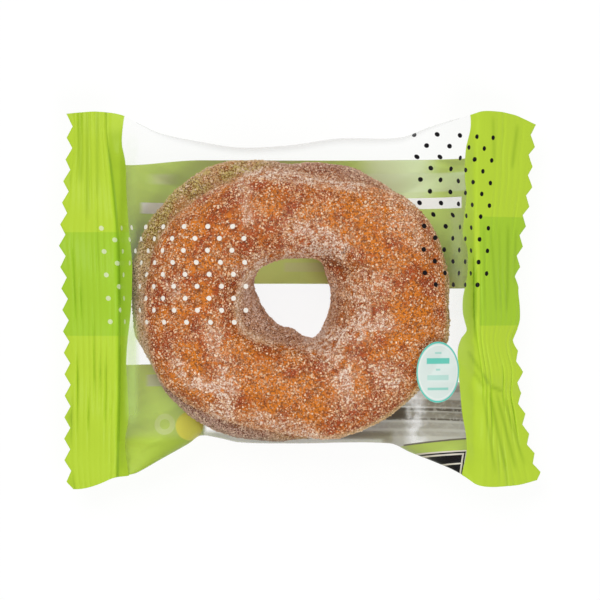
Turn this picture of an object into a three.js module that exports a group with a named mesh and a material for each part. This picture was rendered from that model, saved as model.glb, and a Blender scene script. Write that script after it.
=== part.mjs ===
// A sugar ring doughnut sealed in a flow-wrap pack, lying on its back.
// Millimetres, +X along the pack, +Y across it, +Z up, away from the surface it lies on.
// The film is one tube: front and back meet in a side fold along each long edge, and the
// tube is pressed flat and crimped at both ends. The pack is shut, so it is one solid
// whose skin is the outside of the film.
import * as THREE from "three";

// Driving dimensions
const PACK_THICKNESS = 38; // over the crown of the ring
const MIDDLE_HEIGHT = 18.5; // the side folds beside the ring
// The level of the crimped ends' inner edges, and how far they droop from one x to another:
// the left one lies nearly level, the right one stands higher and slopes down
const LEFT_SEAL = { height: 15.5, droop: 2.2, from: 50, to: 68 };
const RIGHT_SEAL = { height: 23.3, droop: 13, from: 42, to: 72 };
const RIGHT_CURL = { y: 2, halfWidth: 19, depth: 2 }; // the right one bends down further in its middle
const RIGHT_PINCH = { y: -24, x: 52, slant: 0.5, halfWidth: 3.2, height: 1.7 }; // and has a small crest
// Slow waves in both ends: their height, their length over 2 pi, where they start, and their slant
const SWELLS = [
  { height: 0.55, length: 7, start: 0.4, slant: 0 },
  { height: 0.35, length: 3.1, start: 0, slant: 1 / 9 },
];
const SEAL_THICKNESS = 0.8;
const RING_CENTRE = [-2.9, -0.5];
const FOOTPRINT_SHIFT = 0.6; // along Y, once all is drawn: it brings the origin to the middle of the footprint
// How far from the ring's centre the film stays level over it, and how far its shoulder then reaches
const LEFT_CROWN = { reach: 27, shoulder: 17.5 };
const RIGHT_CROWN = { reach: 33.5, shoulder: 15 };
const HOLE_DIP = [2.4, 12]; // how far the film sags over the hole, and how wide
const BACK_SINK = 1.6; // how far the back would bulge if the surface did not flatten it

// The long edges seen from above, where the tube folds from front to back: x, y
const TOP_EDGE = [
  [-67.6, 51.7], [-62, 52.2], [-56.8, 52.4], [-50, 51.4], [-45, 48.9], [-39.4, 46.3], [-28, 43.8],
  [-17, 42.1], [-3, 42.7], [11, 44.6], [27.8, 44.9], [36.2, 47.8], [47.4, 51.1],
  [51, 52.2], [56, 52.2], [58.5, 51.8], [61, 51.2], [67.6, 48.4],
];
const BOTTOM_EDGE = [
  [-67.6, -53.7], [-62.5, -53.6], [-60.3, -53.3], [-57.8, -52.6], [-55.2, -51.6], [-53, -50.6],
  [-51.3, -50.15], [-48.5, -49.8], [-46.5, -49.3], [-44.3, -48.2], [-39.4, -45.3], [-31, -40.5],
  [-28, -38.4], [-22.6, -39], [-17, -40.2], [-3, -40.5], [25, -40.5], [30.6, -42.9],
  [41.8, -47.4], [45.9, -49.7], [49.2, -51.9], [53, -52.65], [58.5, -52.6], [62, -52.3], [67.6, -51],
];
// The sawn ends, through the tips of the teeth: y, x
const LEFT_TIPS = [
  [-54, -65.4], [-45, -66.3], [-27, -66.2], [-9, -66.7], [9, -67.4], [16, -67.8],
  [28, -66.9], [34, -66.6], [40, -65.9], [46, -65.6], [54, -65.8],
];
const RIGHT_TIPS = [
  [-54, 68.4], [-50, 67.9], [-44, 66.1], [-38, 64.4], [-32.4, 63.3], [-26.8, 62.1], [-20.5, 62.7],
  [-15, 61.3], [-11, 60.6], [-6, 61.9], [3.8, 61.4], [9.7, 62.1], [21, 63.7], [26.6, 64.7],
  [32.2, 65.5], [38.4, 65.5], [43.2, 66.1], [54, 66.6],
];
// The inner edges of the crimped ends: y, x
const LEFT_FOLD = [[-54, -51.2], [-25, -50.6], [17, -51], [46, -54], [54, -54]];
const RIGHT_FOLD = [[-54, 49.4], [-25, 50.6], [-8, 48.6], [20, 48.6], [54, 49.4]];

// Crimps and teeth
const CRIMPS = 9; // ribs pressed into each end
const CRIMP_HEIGHT = 0.3;
const TOOTH_DEPTH = [1.7, 1.4]; // left, right
const TOOTH_ROOT = 0.4; // from the last rib to the valleys between the teeth
const BENT_TEETH = [-4, 8]; // on the right: where the edge is curled under, and how wide

// The mesh: rows run along the film, stations across it
const ROWS = 35; // from one side fold to the other, one tooth to two rows
const ROW_SHIFT = 0.26; // the web was folded so that the teeth sit this part of a row nearer the lower edge
const BODY_STEPS = 38;
const ARC_SAMPLES = 240;
const LEAST_LIFT = 0.001; // below this the two films lie flat on each other
const FLAT_SQUARENESS = 8;
const FILM_CLEARANCE = 0.3; // the film never comes closer than this to the level of the folds

// The long seam on the back: the film's two edges, sealed together and laid flat between two rows
const SEAM = { from: 13, to: 16, height: 0.9, step: 0.2 };

// Long soft folds in the film, from a corner of a seal to the ring:
// from x, y, to x, y, half width, height (below 0 is a valley), 1 on the front and -1 on the back
const FOLDS = [
  [-54, 42, -26, 25, 3.6, 2, 1],
  [-53, 24, -38, 15, 3.2, 1, 1],
  [-53, -28, -35, -19, 3.4, 1.3, 1],
  [-53, -46, -28, -30, 3.6, 2.2, 1],
  [51, 44, 24, 26, 3.6, 2, 1],
  [50, 27, 35, 15, 3.2, 1.1, 1],
  [51, -26, 35, -16, 3.4, -1.1, 1],
  [51, -46, 23, -30, 3.6, 2.2, 1],
  [-54, 40, -27, 28, 3.6, 1.8, -1],
  [-53, -38, -28, -28, 3.6, 1.7, -1],
  [51, 40, 25, 28, 3.6, 1.8, -1],
  [51, -40, 24, -30, 3.6, 1.7, -1],
];

const clamp = (x, low, high) => Math.min(Math.max(x, low), high);

function ease(x, from, to) {
  const t = clamp((x - from) / (to - from), 0, 1);
  return t * t * (3 - 2 * t);
}

// A smooth curve through points in order, as a function of their first number.
function through(points) {
  const last = points.length - 1;
  const slope = (i) => {
    const a = points[Math.max(i - 1, 0)];
    const b = points[Math.min(i + 1, last)];
    return (b[1] - a[1]) / (b[0] - a[0]);
  };
  return (x) => {
    const at = clamp(x, points[0][0], points[last][0]);
    const i = clamp(points.findIndex((p) => p[0] > at) - 1, 0, last - 1);
    const k = at === points[last][0] ? last - 1 : i;
    const [x0, y0] = points[k];
    const [x1, y1] = points[k + 1];
    const h = x1 - x0;
    const t = (at - x0) / h;
    return (
      y0 * (1 + 2 * t) * (1 - t) ** 2 +
      h * slope(k) * t * (1 - t) ** 2 +
      y1 * t * t * (3 - 2 * t) +
      h * slope(k + 1) * t * t * (t - 1)
    );
  };
}

const topEdge = through(TOP_EDGE);
const bottomEdge = through(BOTTOM_EDGE);
const leftTips = through(LEFT_TIPS);
const rightTips = through(RIGHT_TIPS);
const leftFold = through(LEFT_FOLD);
const rightFold = through(RIGHT_FOLD);

// How far the film stands above the seal's plane at its middle line, 0 to 1: it is level
// over the crown, follows the ring's round shoulder, and leaves it in a straight line to the seal.
function rise(x) {
  const side = x < RING_CENTRE[0] ? -1 : 1;
  const seal = side < 0 ? -leftFold(0) : rightFold(0);
  const { reach, shoulder } = side < 0 ? LEFT_CROWN : RIGHT_CROWN;
  const crown = side * RING_CENTRE[0] + reach;
  const out = side * x - crown;
  const gap = seal - crown;
  if (out <= 0) return 1;
  const touch = shoulder ** 2 / gap;
  if (out < touch) return Math.sqrt(1 - (out / shoulder) ** 2);
  const touchRise = Math.sqrt(1 - (touch / shoulder) ** 2);
  return Math.max((touchRise * (gap - out)) / (gap - touch), 0);
}

// How square the tube's section is: 2 is an ellipse, more is boxier, less is sharper at the sides.
function squareness(x) {
  const { reach, shoulder } = x < RING_CENTRE[0] ? LEFT_CROWN : RIGHT_CROWN;
  const out = Math.abs(x - RING_CENTRE[0]) / (reach + shoulder);
  return 3.2 - 1.55 * ease(out, 0.15, 0.95);
}

// The level of the side folds: level beside the ring, down to the seals and drooping at the ends.
function foldLevel(x) {
  const seal = x < 0 ? LEFT_SEAL : RIGHT_SEAL;
  const out = Math.abs(x);
  const change = ease(out, 21, 51) * (seal.height - MIDDLE_HEIGHT);
  return MIDDLE_HEIGHT + change - ease(out, seal.from, seal.to) * seal.droop;
}

// Points along half a section, from the bottom edge to the top edge, at the given shares of its length.
function halfSection(halfWidth, height, power, shares) {
  const at = (a) => [
    -Math.sign(Math.cos(a)) * halfWidth * Math.abs(Math.cos(a)) ** (2 / power),
    height * Math.sin(a) ** (2 / power),
  ];
  const samples = Array.from({ length: ARC_SAMPLES + 1 }, (_, i) => {
    const [y, z] = at((Math.PI * i) / ARC_SAMPLES);
    return new THREE.Vector2(y, Math.max(z, 0));
  });
  const lengths = [0];
  for (let i = 1; i <= ARC_SAMPLES; i++)
    lengths.push(lengths[i - 1] + samples[i].distanceTo(samples[i - 1]));
  return shares.map((share) => {
    const wanted = lengths[ARC_SAMPLES] * share;
    const i = clamp(lengths.findIndex((l) => l > wanted), 1, ARC_SAMPLES);
    const last = share >= 1 ? ARC_SAMPLES : i;
    const t = (wanted - lengths[last - 1]) / (lengths[last] - lengths[last - 1]);
    return samples[last - 1].clone().lerp(samples[last], clamp(t, 0, 1));
  });
}

// Where a row lies between the lower edge, 0, and the upper edge, 1.
function rowPlace(row) {
  return (row - ROW_SHIFT * ease(Math.min(row, ROWS - row), 0, 1)) / ROWS;
}

// The share of the half section at which each row lies. On the back of the body the rows
// beside the seam close up to it, so that its two steps are crisp.
function rowShare(row, side, open) {
  let at = row;
  if (side < 0 && row === SEAM.from - 1) at = row + open * (1 - SEAM.step);
  if (side < 0 && row === SEAM.to + 1) at = row - open * (1 - SEAM.step);
  return rowPlace(at);
}

// A soft ridge or valley along a straight line, fading at its ends.
function ridge(x, y, [x0, y0, x1, y1, halfWidth, height]) {
  const dx = x1 - x0;
  const dy = y1 - y0;
  const long = Math.hypot(dx, dy);
  const along = ((x - x0) * dx + (y - y0) * dy) / long ** 2;
  const off = ((x - x0) * dy - (y - y0) * dx) / long;
  if (along < 0 || along > 1 || Math.abs(off) > halfWidth) return 0;
  return height * Math.sin(Math.PI * along) * (1 - Math.abs(off) / halfWidth);
}

// The wave in the crimped ends: slow swells across them, and the pinch and the curl on the right.
function sealWave(x, y) {
  const onSeal = ease(Math.abs(x), 44, 54);
  let swell = 0;
  for (const s of SWELLS) swell += s.height * Math.sin(y / s.length + s.start + s.slant * x);
  if (x < 0) return onSeal * swell;
  const fromPinch = y - RIGHT_PINCH.y + (x - RIGHT_PINCH.x) * RIGHT_PINCH.slant;
  const pinch = RIGHT_PINCH.height * Math.exp(-((fromPinch / RIGHT_PINCH.halfWidth) ** 2));
  const bend = Math.exp(-(((y - RIGHT_CURL.y) / RIGHT_CURL.halfWidth) ** 2));
  return onSeal * (swell + pinch) - RIGHT_CURL.depth * bend * ease(x, 48, 64);
}

// How deep the teeth are on the right: none where the edge is curled under.
function rightToothDepth(y) {
  return TOOTH_DEPTH[1] * (1 - Math.exp(-(((y - BENT_TEETH[0]) / BENT_TEETH[1]) ** 4)));
}

// The stations of one row: the tooth and the crimps on the left, the body, and the same on the right.
// Each gives its x and the height of the crimp there.
function stations(row) {
  const yAt = (x) => bottomEdge(x) + (topEdge(x) - bottomEdge(x)) * rowPlace(row);
  const leftTip = leftTips(yAt(-66));
  const rightTip = rightTips(yAt(65));
  const leftRoot = leftTip + TOOTH_DEPTH[0];
  const rightRoot = rightTip - rightToothDepth(yAt(65));
  const leftRib = leftRoot + TOOTH_ROOT;
  const rightRib = rightRoot - TOOTH_ROOT;
  const foldA = leftFold(yAt(-52));
  const foldB = rightFold(yAt(49));
  const steps = 2 * CRIMPS - 1;
  const crimp = (i) => (i % 2 ? CRIMP_HEIGHT : -CRIMP_HEIGHT);
  const list = [[row % 2 ? leftTip : leftRoot, 0]];
  for (let i = 0; i < steps; i++) list.push([leftRib + ((foldA - leftRib) * i) / steps, crimp(i)]);
  for (let i = 0; i <= BODY_STEPS; i++) list.push([foldA + ((foldB - foldA) * i) / BODY_STEPS, 0]);
  for (let i = 1; i <= steps; i++) list.push([foldB + ((rightRib - foldB) * i) / steps, crimp(i)]);
  list.push([row % 2 ? rightTip : rightRoot, 0]);
  return list;
}

// A point of the front (side 1) or the back (side -1).
function filmPoint(row, x, crimp, side) {
  const top = topEdge(x);
  const bottom = bottomEdge(x);
  const lift = rise(x);
  const up = PACK_THICKNESS - MIDDLE_HEIGHT - SEAL_THICKNESS / 2;
  const down = MIDDLE_HEIGHT - SEAL_THICKNESS / 2 + BACK_SINK;
  const drop = MIDDLE_HEIGHT - foldLevel(x);
  const reach = side > 0 ? up + drop : down - drop;
  const height = Math.max(lift * reach, 1e-4) + SEAL_THICKNESS / 2;
  const flat = lift < LEAST_LIFT;
  const open = ease(lift, 0, 0.3);
  const [point] = halfSection((top - bottom) / 2, height, flat ? FLAT_SQUARENESS : squareness(x), [
    rowShare(row, side, open),
  ]);
  const y = (top + bottom) / 2 + point.x;
  const level = foldLevel(x) + sealWave(x, y) + crimp;
  let z = point.y;
  if (row > 0 && row < ROWS) {
    for (const fold of FOLDS) if (fold[6] === side) z += ridge(x, y, fold);
    const fromHole = Math.hypot(x - RING_CENTRE[0], y - RING_CENTRE[1]) / HOLE_DIP[1];
    z -= HOLE_DIP[0] * Math.exp(-(fromHole ** 2));
    if (side < 0 && row >= SEAM.from && row <= SEAM.to) z += SEAM.height * open;
    z = Math.max(z, flat ? SEAL_THICKNESS / 2 : FILM_CLEARANCE);
  } else {
    z = 0;
  }
  return new THREE.Vector3(x, y, Math.max(level + side * z, 0));
}

// The tube as rings of points, one ring to a station: up the front, then down the back.
function filmTube() {
  const rows = Array.from({ length: ROWS + 1 }, (_, row) => stations(row));
  const count = rows[0].length;
  const rings = [];
  for (let i = 0; i < count; i++) {
    const ring = [];
    for (let row = 0; row <= ROWS; row++) ring.push(filmPoint(row, ...rows[row][i], 1));
    for (let row = ROWS - 1; row > 0; row--) ring.push(filmPoint(row, ...rows[row][i], -1));
    rings.push(ring);
  }
  return rings;
}

// One closed skin over the rings, with a strip of faces along each sawn end.
function skin(rings) {
  const around = rings[0].length;
  const index = [];
  const quad = (a, b, c, d) => index.push(a, b, c, a, c, d);
  for (let i = 0; i + 1 < rings.length; i++)
    for (let k = 0; k < around; k++) {
      const next = (k + 1) % around;
      quad(i * around + k, (i + 1) * around + k, (i + 1) * around + next, i * around + next);
    }
  for (const [base, turn] of [[0, false], [(rings.length - 1) * around, true]])
    for (let row = 0; row < ROWS; row++) {
      const front = [base + row, base + row + 1];
      const back = [base + ((around - row) % around), base + around - row - 1];
      const face = [front[0], front[1], back[1], back[0]];
      const corners = (turn ? face.reverse() : face).filter((v, n, all) => all.indexOf(v) === n);
      for (let n = 1; n + 1 < corners.length; n++) index.push(corners[0], corners[n], corners[n + 1]);
    }
  const geometry = new THREE.BufferGeometry().setFromPoints(rings.flat());
  geometry.translate(0, FOOTPRINT_SHIFT, 0);
  geometry.setIndex(index);
  geometry.computeVertexNormals();
  return geometry;
}

const film = new THREE.MeshStandardMaterial({ color: 0xb2d64a, roughness: 0.35, metalness: 0 });
const pack = new THREE.Mesh(skin(filmTube()), film);
pack.name = "sealed_doughnut_pack";

const part = new THREE.Group();
part.add(pack);
export default part;
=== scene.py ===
# %% [markdown]
# # A sugar ring doughnut in its flow-wrap pack
# The real thing is a ring of fried dough, rolled in sugar and sealed by a machine in one
# tube of clear printed film. The CAD model holds the shut pack as one solid. This lesson
# puts the real pieces in its place: the film, the doughnut inside it and the sugar.
# All lengths below are in millimetres, as on the drawing, and are turned into metres
# where a mesh is made.

import math

import bpy
import numpy as np
from mathutils import Matrix, Vector, noise
from mathutils.bvhtree import BVHTree


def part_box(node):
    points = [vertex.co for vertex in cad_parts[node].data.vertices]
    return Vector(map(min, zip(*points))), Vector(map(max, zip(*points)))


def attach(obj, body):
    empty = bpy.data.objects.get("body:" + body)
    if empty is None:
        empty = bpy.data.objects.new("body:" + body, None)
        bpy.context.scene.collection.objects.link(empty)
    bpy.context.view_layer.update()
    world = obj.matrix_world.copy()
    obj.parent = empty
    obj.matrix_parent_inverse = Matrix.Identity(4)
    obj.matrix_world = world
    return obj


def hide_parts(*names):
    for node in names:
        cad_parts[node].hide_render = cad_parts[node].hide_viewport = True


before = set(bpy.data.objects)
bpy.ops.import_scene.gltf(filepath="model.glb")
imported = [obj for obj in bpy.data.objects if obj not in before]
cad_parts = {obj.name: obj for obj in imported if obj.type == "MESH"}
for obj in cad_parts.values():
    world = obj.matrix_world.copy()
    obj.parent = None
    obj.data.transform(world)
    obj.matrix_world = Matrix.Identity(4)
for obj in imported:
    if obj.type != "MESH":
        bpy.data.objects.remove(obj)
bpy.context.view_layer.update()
PACK_NODE = "sealed_doughnut_pack"
MM = 0.001

pack_low, pack_high = [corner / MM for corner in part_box(PACK_NODE)]
print("pack box, mm:", [round(v, 2) for v in (*pack_low, *pack_high)])

# %% [markdown]
# ## The camera
# The pack was photographed from straight above with a long lens. A perspective camera
# 0.9 m above the middle of the pack gives the same slight growth of the crown. The lens
# follows from how many pixels one millimetre takes in the 600 pixel wide picture.

# %% Camera
PICTURE_WIDTH = 600
PIXELS_PER_MM = 3.57
CAMERA_HEIGHT = 900
AIM = (-0.056, 0.152, 16.5)
SENSOR = 36

bpy.ops.object.select_all(action="DESELECT")
bpy.ops.object.camera_add(
    location=(AIM[0] * MM, AIM[1] * MM, (AIM[2] + CAMERA_HEIGHT) * MM), rotation=(0, 0, 0)
)
camera = bpy.context.object
camera.name = "camera"
camera.data.sensor_width = SENSOR
camera.data.lens = SENSOR * CAMERA_HEIGHT * PIXELS_PER_MM / PICTURE_WIDTH
bpy.context.scene.camera = camera
print("lens, mm:", round(camera.data.lens, 1))

# %% [markdown]
# ## The table and the light
# The pack lies on a white light table, so even the floor seen through the hole is bright.
# A plain plane that glows does that. A white sky and two broad lamps, one at the upper left
# and one at the lower right, give gentle shading.

# %% Light table
FLOOR_SIZE = 6
FLOOR_DROP = 0.05
FLOOR_GLOW = 0.91
FLOOR_GREY = 0.09
FLOOR_ROUGHNESS = 0.9

bpy.ops.mesh.primitive_plane_add(size=FLOOR_SIZE, location=(0, 0, -FLOOR_DROP * MM))
floor = bpy.context.object
floor.name = "light_table"
floor_finish = bpy.data.materials.new("light_table")
floor_finish.use_nodes = True
floor_shader = floor_finish.node_tree.nodes["Principled BSDF"]
floor_shader.inputs["Base Color"].default_value = (FLOOR_GREY, FLOOR_GREY, FLOOR_GREY, 1)
floor_shader.inputs["Roughness"].default_value = FLOOR_ROUGHNESS
floor_shader.inputs["Emission Color"].default_value = (1, 1, 1, 1)
floor_shader.inputs["Emission Strength"].default_value = FLOOR_GLOW
floor.data.materials.append(floor_finish)

# %% Sky and lamps
SKY = 0.34
LAMPS = {
    "left_lamp": {"at": (-0.22, 0.38, 0.9), "size": 0.45, "watts": 3.7},
    "right_lamp": {"at": (0.24, -0.38, 0.9), "size": 0.45, "watts": 3.2},
}

sky = bpy.data.worlds.new("sky")
sky.use_nodes = True
sky.node_tree.nodes["Background"].inputs["Color"].default_value = (1, 1, 1, 1)
sky.node_tree.nodes["Background"].inputs["Strength"].default_value = SKY
bpy.context.scene.world = sky
bpy.context.scene.view_settings.view_transform = "Standard"

for lamp_name, lamp in LAMPS.items():
    bpy.ops.object.light_add(type="AREA", location=lamp["at"])
    light = bpy.context.object
    light.name = lamp_name
    light.data.size = lamp["size"]
    light.data.energy = lamp["watts"]
    light.rotation_euler = Vector(lamp["at"]).to_track_quat("Z", "Y").to_euler()
print("lamps:", ", ".join(LAMPS))

# %% [markdown]
# ## The form of the pack
# The film is one flat web, folded into a tube with a long seam on its back, then pressed
# flat, crimped and sawn off at both ends. Its form is worked out from the same named
# sizes as the solid, so the two agree. Smooth curves through a few points give the long
# edges, the sawn ends and the inner edges of the seals.

# %% Sizes of the pack
PACK_THICKNESS = 38
MIDDLE_HEIGHT = 18.5
LEFT_SEAL = {"height": 15.5, "droop": 2.2, "from": 50, "to": 68}
RIGHT_SEAL = {"height": 23.3, "droop": 13, "from": 42, "to": 72}
RIGHT_CURL = {"y": 2, "half_width": 19, "depth": 2}
RIGHT_PINCH = {"y": -24, "x": 52, "slant": 0.5, "half_width": 3.2, "height": 1.7}
SWELLS = [
    {"height": 0.55, "length": 7, "start": 0.4, "slant": 0},
    {"height": 0.35, "length": 3.1, "start": 0, "slant": 1 / 9},
]
BODY_SKIN = 0.4
SEAL_SKIN = 0.14
RING_CENTRE = (-2.9, -0.5)
FOOTPRINT_SHIFT = 0.6
LEFT_CROWN = {"reach": 27, "shoulder": 17.5}
RIGHT_CROWN = {"reach": 33.5, "shoulder": 15}
SQUARENESS = {"crown": 3.2, "loss": 1.55, "from": 0.15, "to": 0.95}
HOLE_DIP = {"depth": 2.4, "half_width": 12}
BACK_SINK = 1.6
# Distances from the middle between which the side folds turn to the seals, and the waves set in
FOLD_TURN = (21, 51)
WAVE_START = (44, 54)
CURL_START = (48, 64)

TOP_EDGE = [
    (-67.6, 51.7), (-62, 52.2), (-56.8, 52.4), (-50, 51.4), (-45, 48.9), (-39.4, 46.3), (-28, 43.8),
    (-17, 42.1), (-3, 42.7), (11, 44.6), (27.8, 44.9), (36.2, 47.8), (47.4, 51.1),
    (51, 52.2), (56, 52.2), (58.5, 51.8), (61, 51.2), (67.6, 48.4),
]
BOTTOM_EDGE = [
    (-67.6, -53.7), (-62.5, -53.6), (-60.3, -53.3), (-57.8, -52.6), (-55.2, -51.6), (-53, -50.6),
    (-51.3, -50.15), (-48.5, -49.8), (-46.5, -49.3), (-44.3, -48.2), (-39.4, -45.3), (-31, -40.5),
    (-28, -38.4), (-22.6, -39), (-17, -40.2), (-3, -40.5), (25, -40.5), (30.6, -42.9),
    (41.8, -47.4), (45.9, -49.7), (49.2, -51.9), (53, -52.65), (58.5, -52.6), (62, -52.3), (67.6, -51),
]
LEFT_TIPS = [
    (-54, -65.4), (-45, -66.3), (-27, -66.2), (-9, -66.7), (9, -67.4), (16, -67.8),
    (28, -66.9), (34, -66.6), (40, -65.9), (46, -65.6), (54, -65.8),
]
RIGHT_TIPS = [
    (-54, 68.4), (-50, 67.9), (-44, 66.1), (-38, 64.4), (-32.4, 63.3), (-26.8, 62.1), (-20.5, 62.7),
    (-15, 61.3), (-11, 60.6), (-6, 61.9), (3.8, 61.4), (9.7, 62.1), (21, 63.7), (26.6, 64.7),
    (32.2, 65.5), (38.4, 65.5), (43.2, 66.1), (54, 66.6),
]
LEFT_FOLD = [(-54, -51.2), (-25, -50.6), (17, -51), (46, -54), (54, -54)]
RIGHT_FOLD = [(-54, 49.4), (-25, 50.6), (-8, 48.6), (20, 48.6), (54, 49.4)]

CRIMPS = 9
CRIMP_HEIGHT = 0.3
TOOTH_DEPTH = (1.7, 1.4)
TOOTH_ROOT = 0.4
BENT_TEETH = (-4, 8)
TOOTH_ROWS = 35
ROW_SHIFT = 0.26
SEAM = {"low": 13, "high": 16, "height": 0.7}

# From x, y, to x, y, half width, height, and 1 on the front or -1 on the back
FOLDS = [
    (-54, 42, -26, 25, 3.6, 2, 1), (-53, 24, -38, 15, 3.2, 1, 1),
    (-53, -28, -35, -19, 3.4, 1.3, 1), (-53, -46, -28, -30, 3.6, 2.2, 1),
    (51, 44, 24, 26, 3.6, 2, 1), (50, 27, 35, 15, 3.2, 1.1, 1),
    (51, -26, 35, -16, 3.4, -1.1, 1), (51, -46, 23, -30, 3.6, 2.2, 1),
    (-54, 40, -27, 28, 3.6, 1.8, -1), (-53, -38, -28, -28, 3.6, 1.7, -1),
    (51, 40, 25, 28, 3.6, 1.8, -1), (51, -40, 24, -30, 3.6, 1.7, -1),
]


# %% Smooth steps and curves
def ease(x, start, end):
    t = np.clip((x - start) / (end - start), 0, 1)
    return t * t * (3 - 2 * t)


def bump(x, middle, half_width):
    return np.exp(-(((x - middle) / half_width) ** 2))


def off_line(x, y, x0, y0, x1, y1):
    """How far a place lies from a straight line, seen from above, and how far along the line it is."""
    along = ((x - x0) * (x1 - x0) + (y - y0) * (y1 - y0)) / math.hypot(x1 - x0, y1 - y0) ** 2
    along = np.clip(along, 0, 1)
    return np.hypot(x - x0 - (x1 - x0) * along, y - y0 - (y1 - y0) * along), along


def through(points):
    """A smooth curve through points in order, as a function of their first number."""
    at, value = np.array(points, float).T
    last = len(at) - 1
    before = np.maximum(np.arange(last + 1) - 1, 0)
    after = np.minimum(np.arange(last + 1) + 1, last)
    slope = (value[after] - value[before]) / (at[after] - at[before])

    def curve(x):
        x = np.clip(x, at[0], at[-1])
        k = np.clip(np.searchsorted(at, x, side="right") - 1, 0, last - 1)
        h = at[k + 1] - at[k]
        t = (x - at[k]) / h
        from_left = value[k] * (1 + 2 * t) * (1 - t) ** 2 + h * slope[k] * t * (1 - t) ** 2
        from_right = value[k + 1] * t * t * (3 - 2 * t) + h * slope[k + 1] * t * t * (t - 1)
        return from_left + from_right

    return curve


top_edge = through(TOP_EDGE)
bottom_edge = through(BOTTOM_EDGE)
left_tips = through(LEFT_TIPS)
right_tips = through(RIGHT_TIPS)
left_fold = through(LEFT_FOLD)
right_fold = through(RIGHT_FOLD)


# %% How high the film stands, and where its side folds lie
def by_side(x, left, right):
    """The sizes of the pack's left end or of its right one, by where each x lies."""
    return [np.where(x < RING_CENTRE[0], left[name], right[name]) for name in left]


def rise(x):
    """0 at the seals and 1 over the crown: straight up from the seal, then round the shoulder."""
    side = np.where(x < RING_CENTRE[0], -1.0, 1.0)
    reach, round_off = by_side(x, LEFT_CROWN, RIGHT_CROWN)
    seal = np.where(side < 0, -left_fold(0), right_fold(0))
    crown = side * RING_CENTRE[0] + reach
    out = side * x - crown
    gap = seal - crown
    touch = round_off**2 / gap
    shoulder = np.sqrt(np.clip(1 - (np.minimum(out, touch) / round_off) ** 2, 0, 1))
    straight = np.maximum(shoulder * (gap - out) / (gap - touch), 0)
    return np.where(out <= 0, 1, np.where(out < touch, shoulder, straight))


def squareness(x):
    """How square the section of the tube is at each x."""
    reach, shoulder = by_side(x, LEFT_CROWN, RIGHT_CROWN)
    out = np.abs(x - RING_CENTRE[0]) / (reach + shoulder)
    return SQUARENESS["crown"] - SQUARENESS["loss"] * ease(out, SQUARENESS["from"], SQUARENESS["to"])


def fold_level(x):
    """How high the side folds lie at each x, and the seals in line with them."""
    out = np.abs(x)
    height, droop, start, end = by_side(x, LEFT_SEAL, RIGHT_SEAL)
    turned = ease(out, *FOLD_TURN) * (height - MIDDLE_HEIGHT)
    return MIDDLE_HEIGHT + turned - ease(out, start, end) * droop


def seal_wave(x, y):
    """The swells of both seals, and the pinch and the curl of the right one."""
    on_seal = ease(np.abs(x), *WAVE_START)
    swell = sum(s["height"] * np.sin(y / s["length"] + s["start"] + s["slant"] * x) for s in SWELLS)
    from_pinch = y - RIGHT_PINCH["y"] + (x - RIGHT_PINCH["x"]) * RIGHT_PINCH["slant"]
    pinch = RIGHT_PINCH["height"] * bump(from_pinch, 0, RIGHT_PINCH["half_width"])
    curl = RIGHT_CURL["depth"] * bump(y, RIGHT_CURL["y"], RIGHT_CURL["half_width"]) * ease(x, *CURL_START)
    return on_seal * swell + np.where(x > 0, on_seal * pinch - curl, 0)


def ridges(x, y, folds):
    """The height of all soft folds of one side of the film."""
    total = np.zeros_like(x)
    for x0, y0, x1, y1, half_width, height in folds:
        long = math.hypot(x1 - x0, y1 - y0)
        along = ((x - x0) * (x1 - x0) + (y - y0) * (y1 - y0)) / long**2
        off = np.abs((x - x0) * (y1 - y0) - (y - y0) * (x1 - x0)) / long
        inside = (along > 0) & (along < 1) & (off < half_width)
        total += np.where(inside, height * np.sin(math.pi * along) * (1 - off / half_width), 0)
    return total


# %% [markdown]
# ## Where the points of the film lie
# The web is a grid: stations run along the pack and rows run across it. At each station
# the tube's section is a rounded box that gets flatter and sharper towards the seals.
# Points are spread evenly along its length, because film does not stretch.

# %% Stations along the pack
ROW_STEPS = 4
TOOTH_STEPS = 3
HALF_CRIMPS = 2 * CRIMPS - 1
RIB_STEPS = 5 * HALF_CRIMPS // 2 + 10
BODY_STEPS = 172
RIB_SHARPNESS = 3.2
CRIMP_SEED = 5
CRIMP_SPOTS = 11
CRIMP_SPOTS_REACH = 56
CRIMP_FADE_FROM = 0.93
# Least share of the crimps' depth, at a seal's top, and the places down it, as -y, where it starts to grow
# and is full
CRIMPS_DEEPEN = {-1: (0.75, -12, 20), 1: (0.6, 12, 30)}
SMOOTH_CORNER = {"y": (8, 22), "rib": (0.55, 0.7), "loss": 0.85}
FOLD_GROOVE = {"depth": 0.5, "half_width": 0.7, "left_loss": 0.4, "left_ends": (24, 40), "right_reach": 10}
# Where each row's place across the pack is read, for its teeth and for its inner folds
LEFT_TOOTH_X, RIGHT_TOOTH_X = -66, 65
LEFT_FOLD_X, RIGHT_FOLD_X = -52, 49

row_marks = np.arange(TOOTH_ROWS * ROW_STEPS + 1) / ROW_STEPS


def row_place(row):
    """Where a row lies between the lower edge, 0, and the upper edge, 1."""
    return (row - ROW_SHIFT * ease(np.minimum(row, TOOTH_ROWS - row), 0, 1)) / TOOTH_ROWS


def across_at(x, row):
    """Where a row crosses the pack at each x."""
    return bottom_edge(x) + (top_edge(x) - bottom_edge(x)) * row_place(row)


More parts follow.
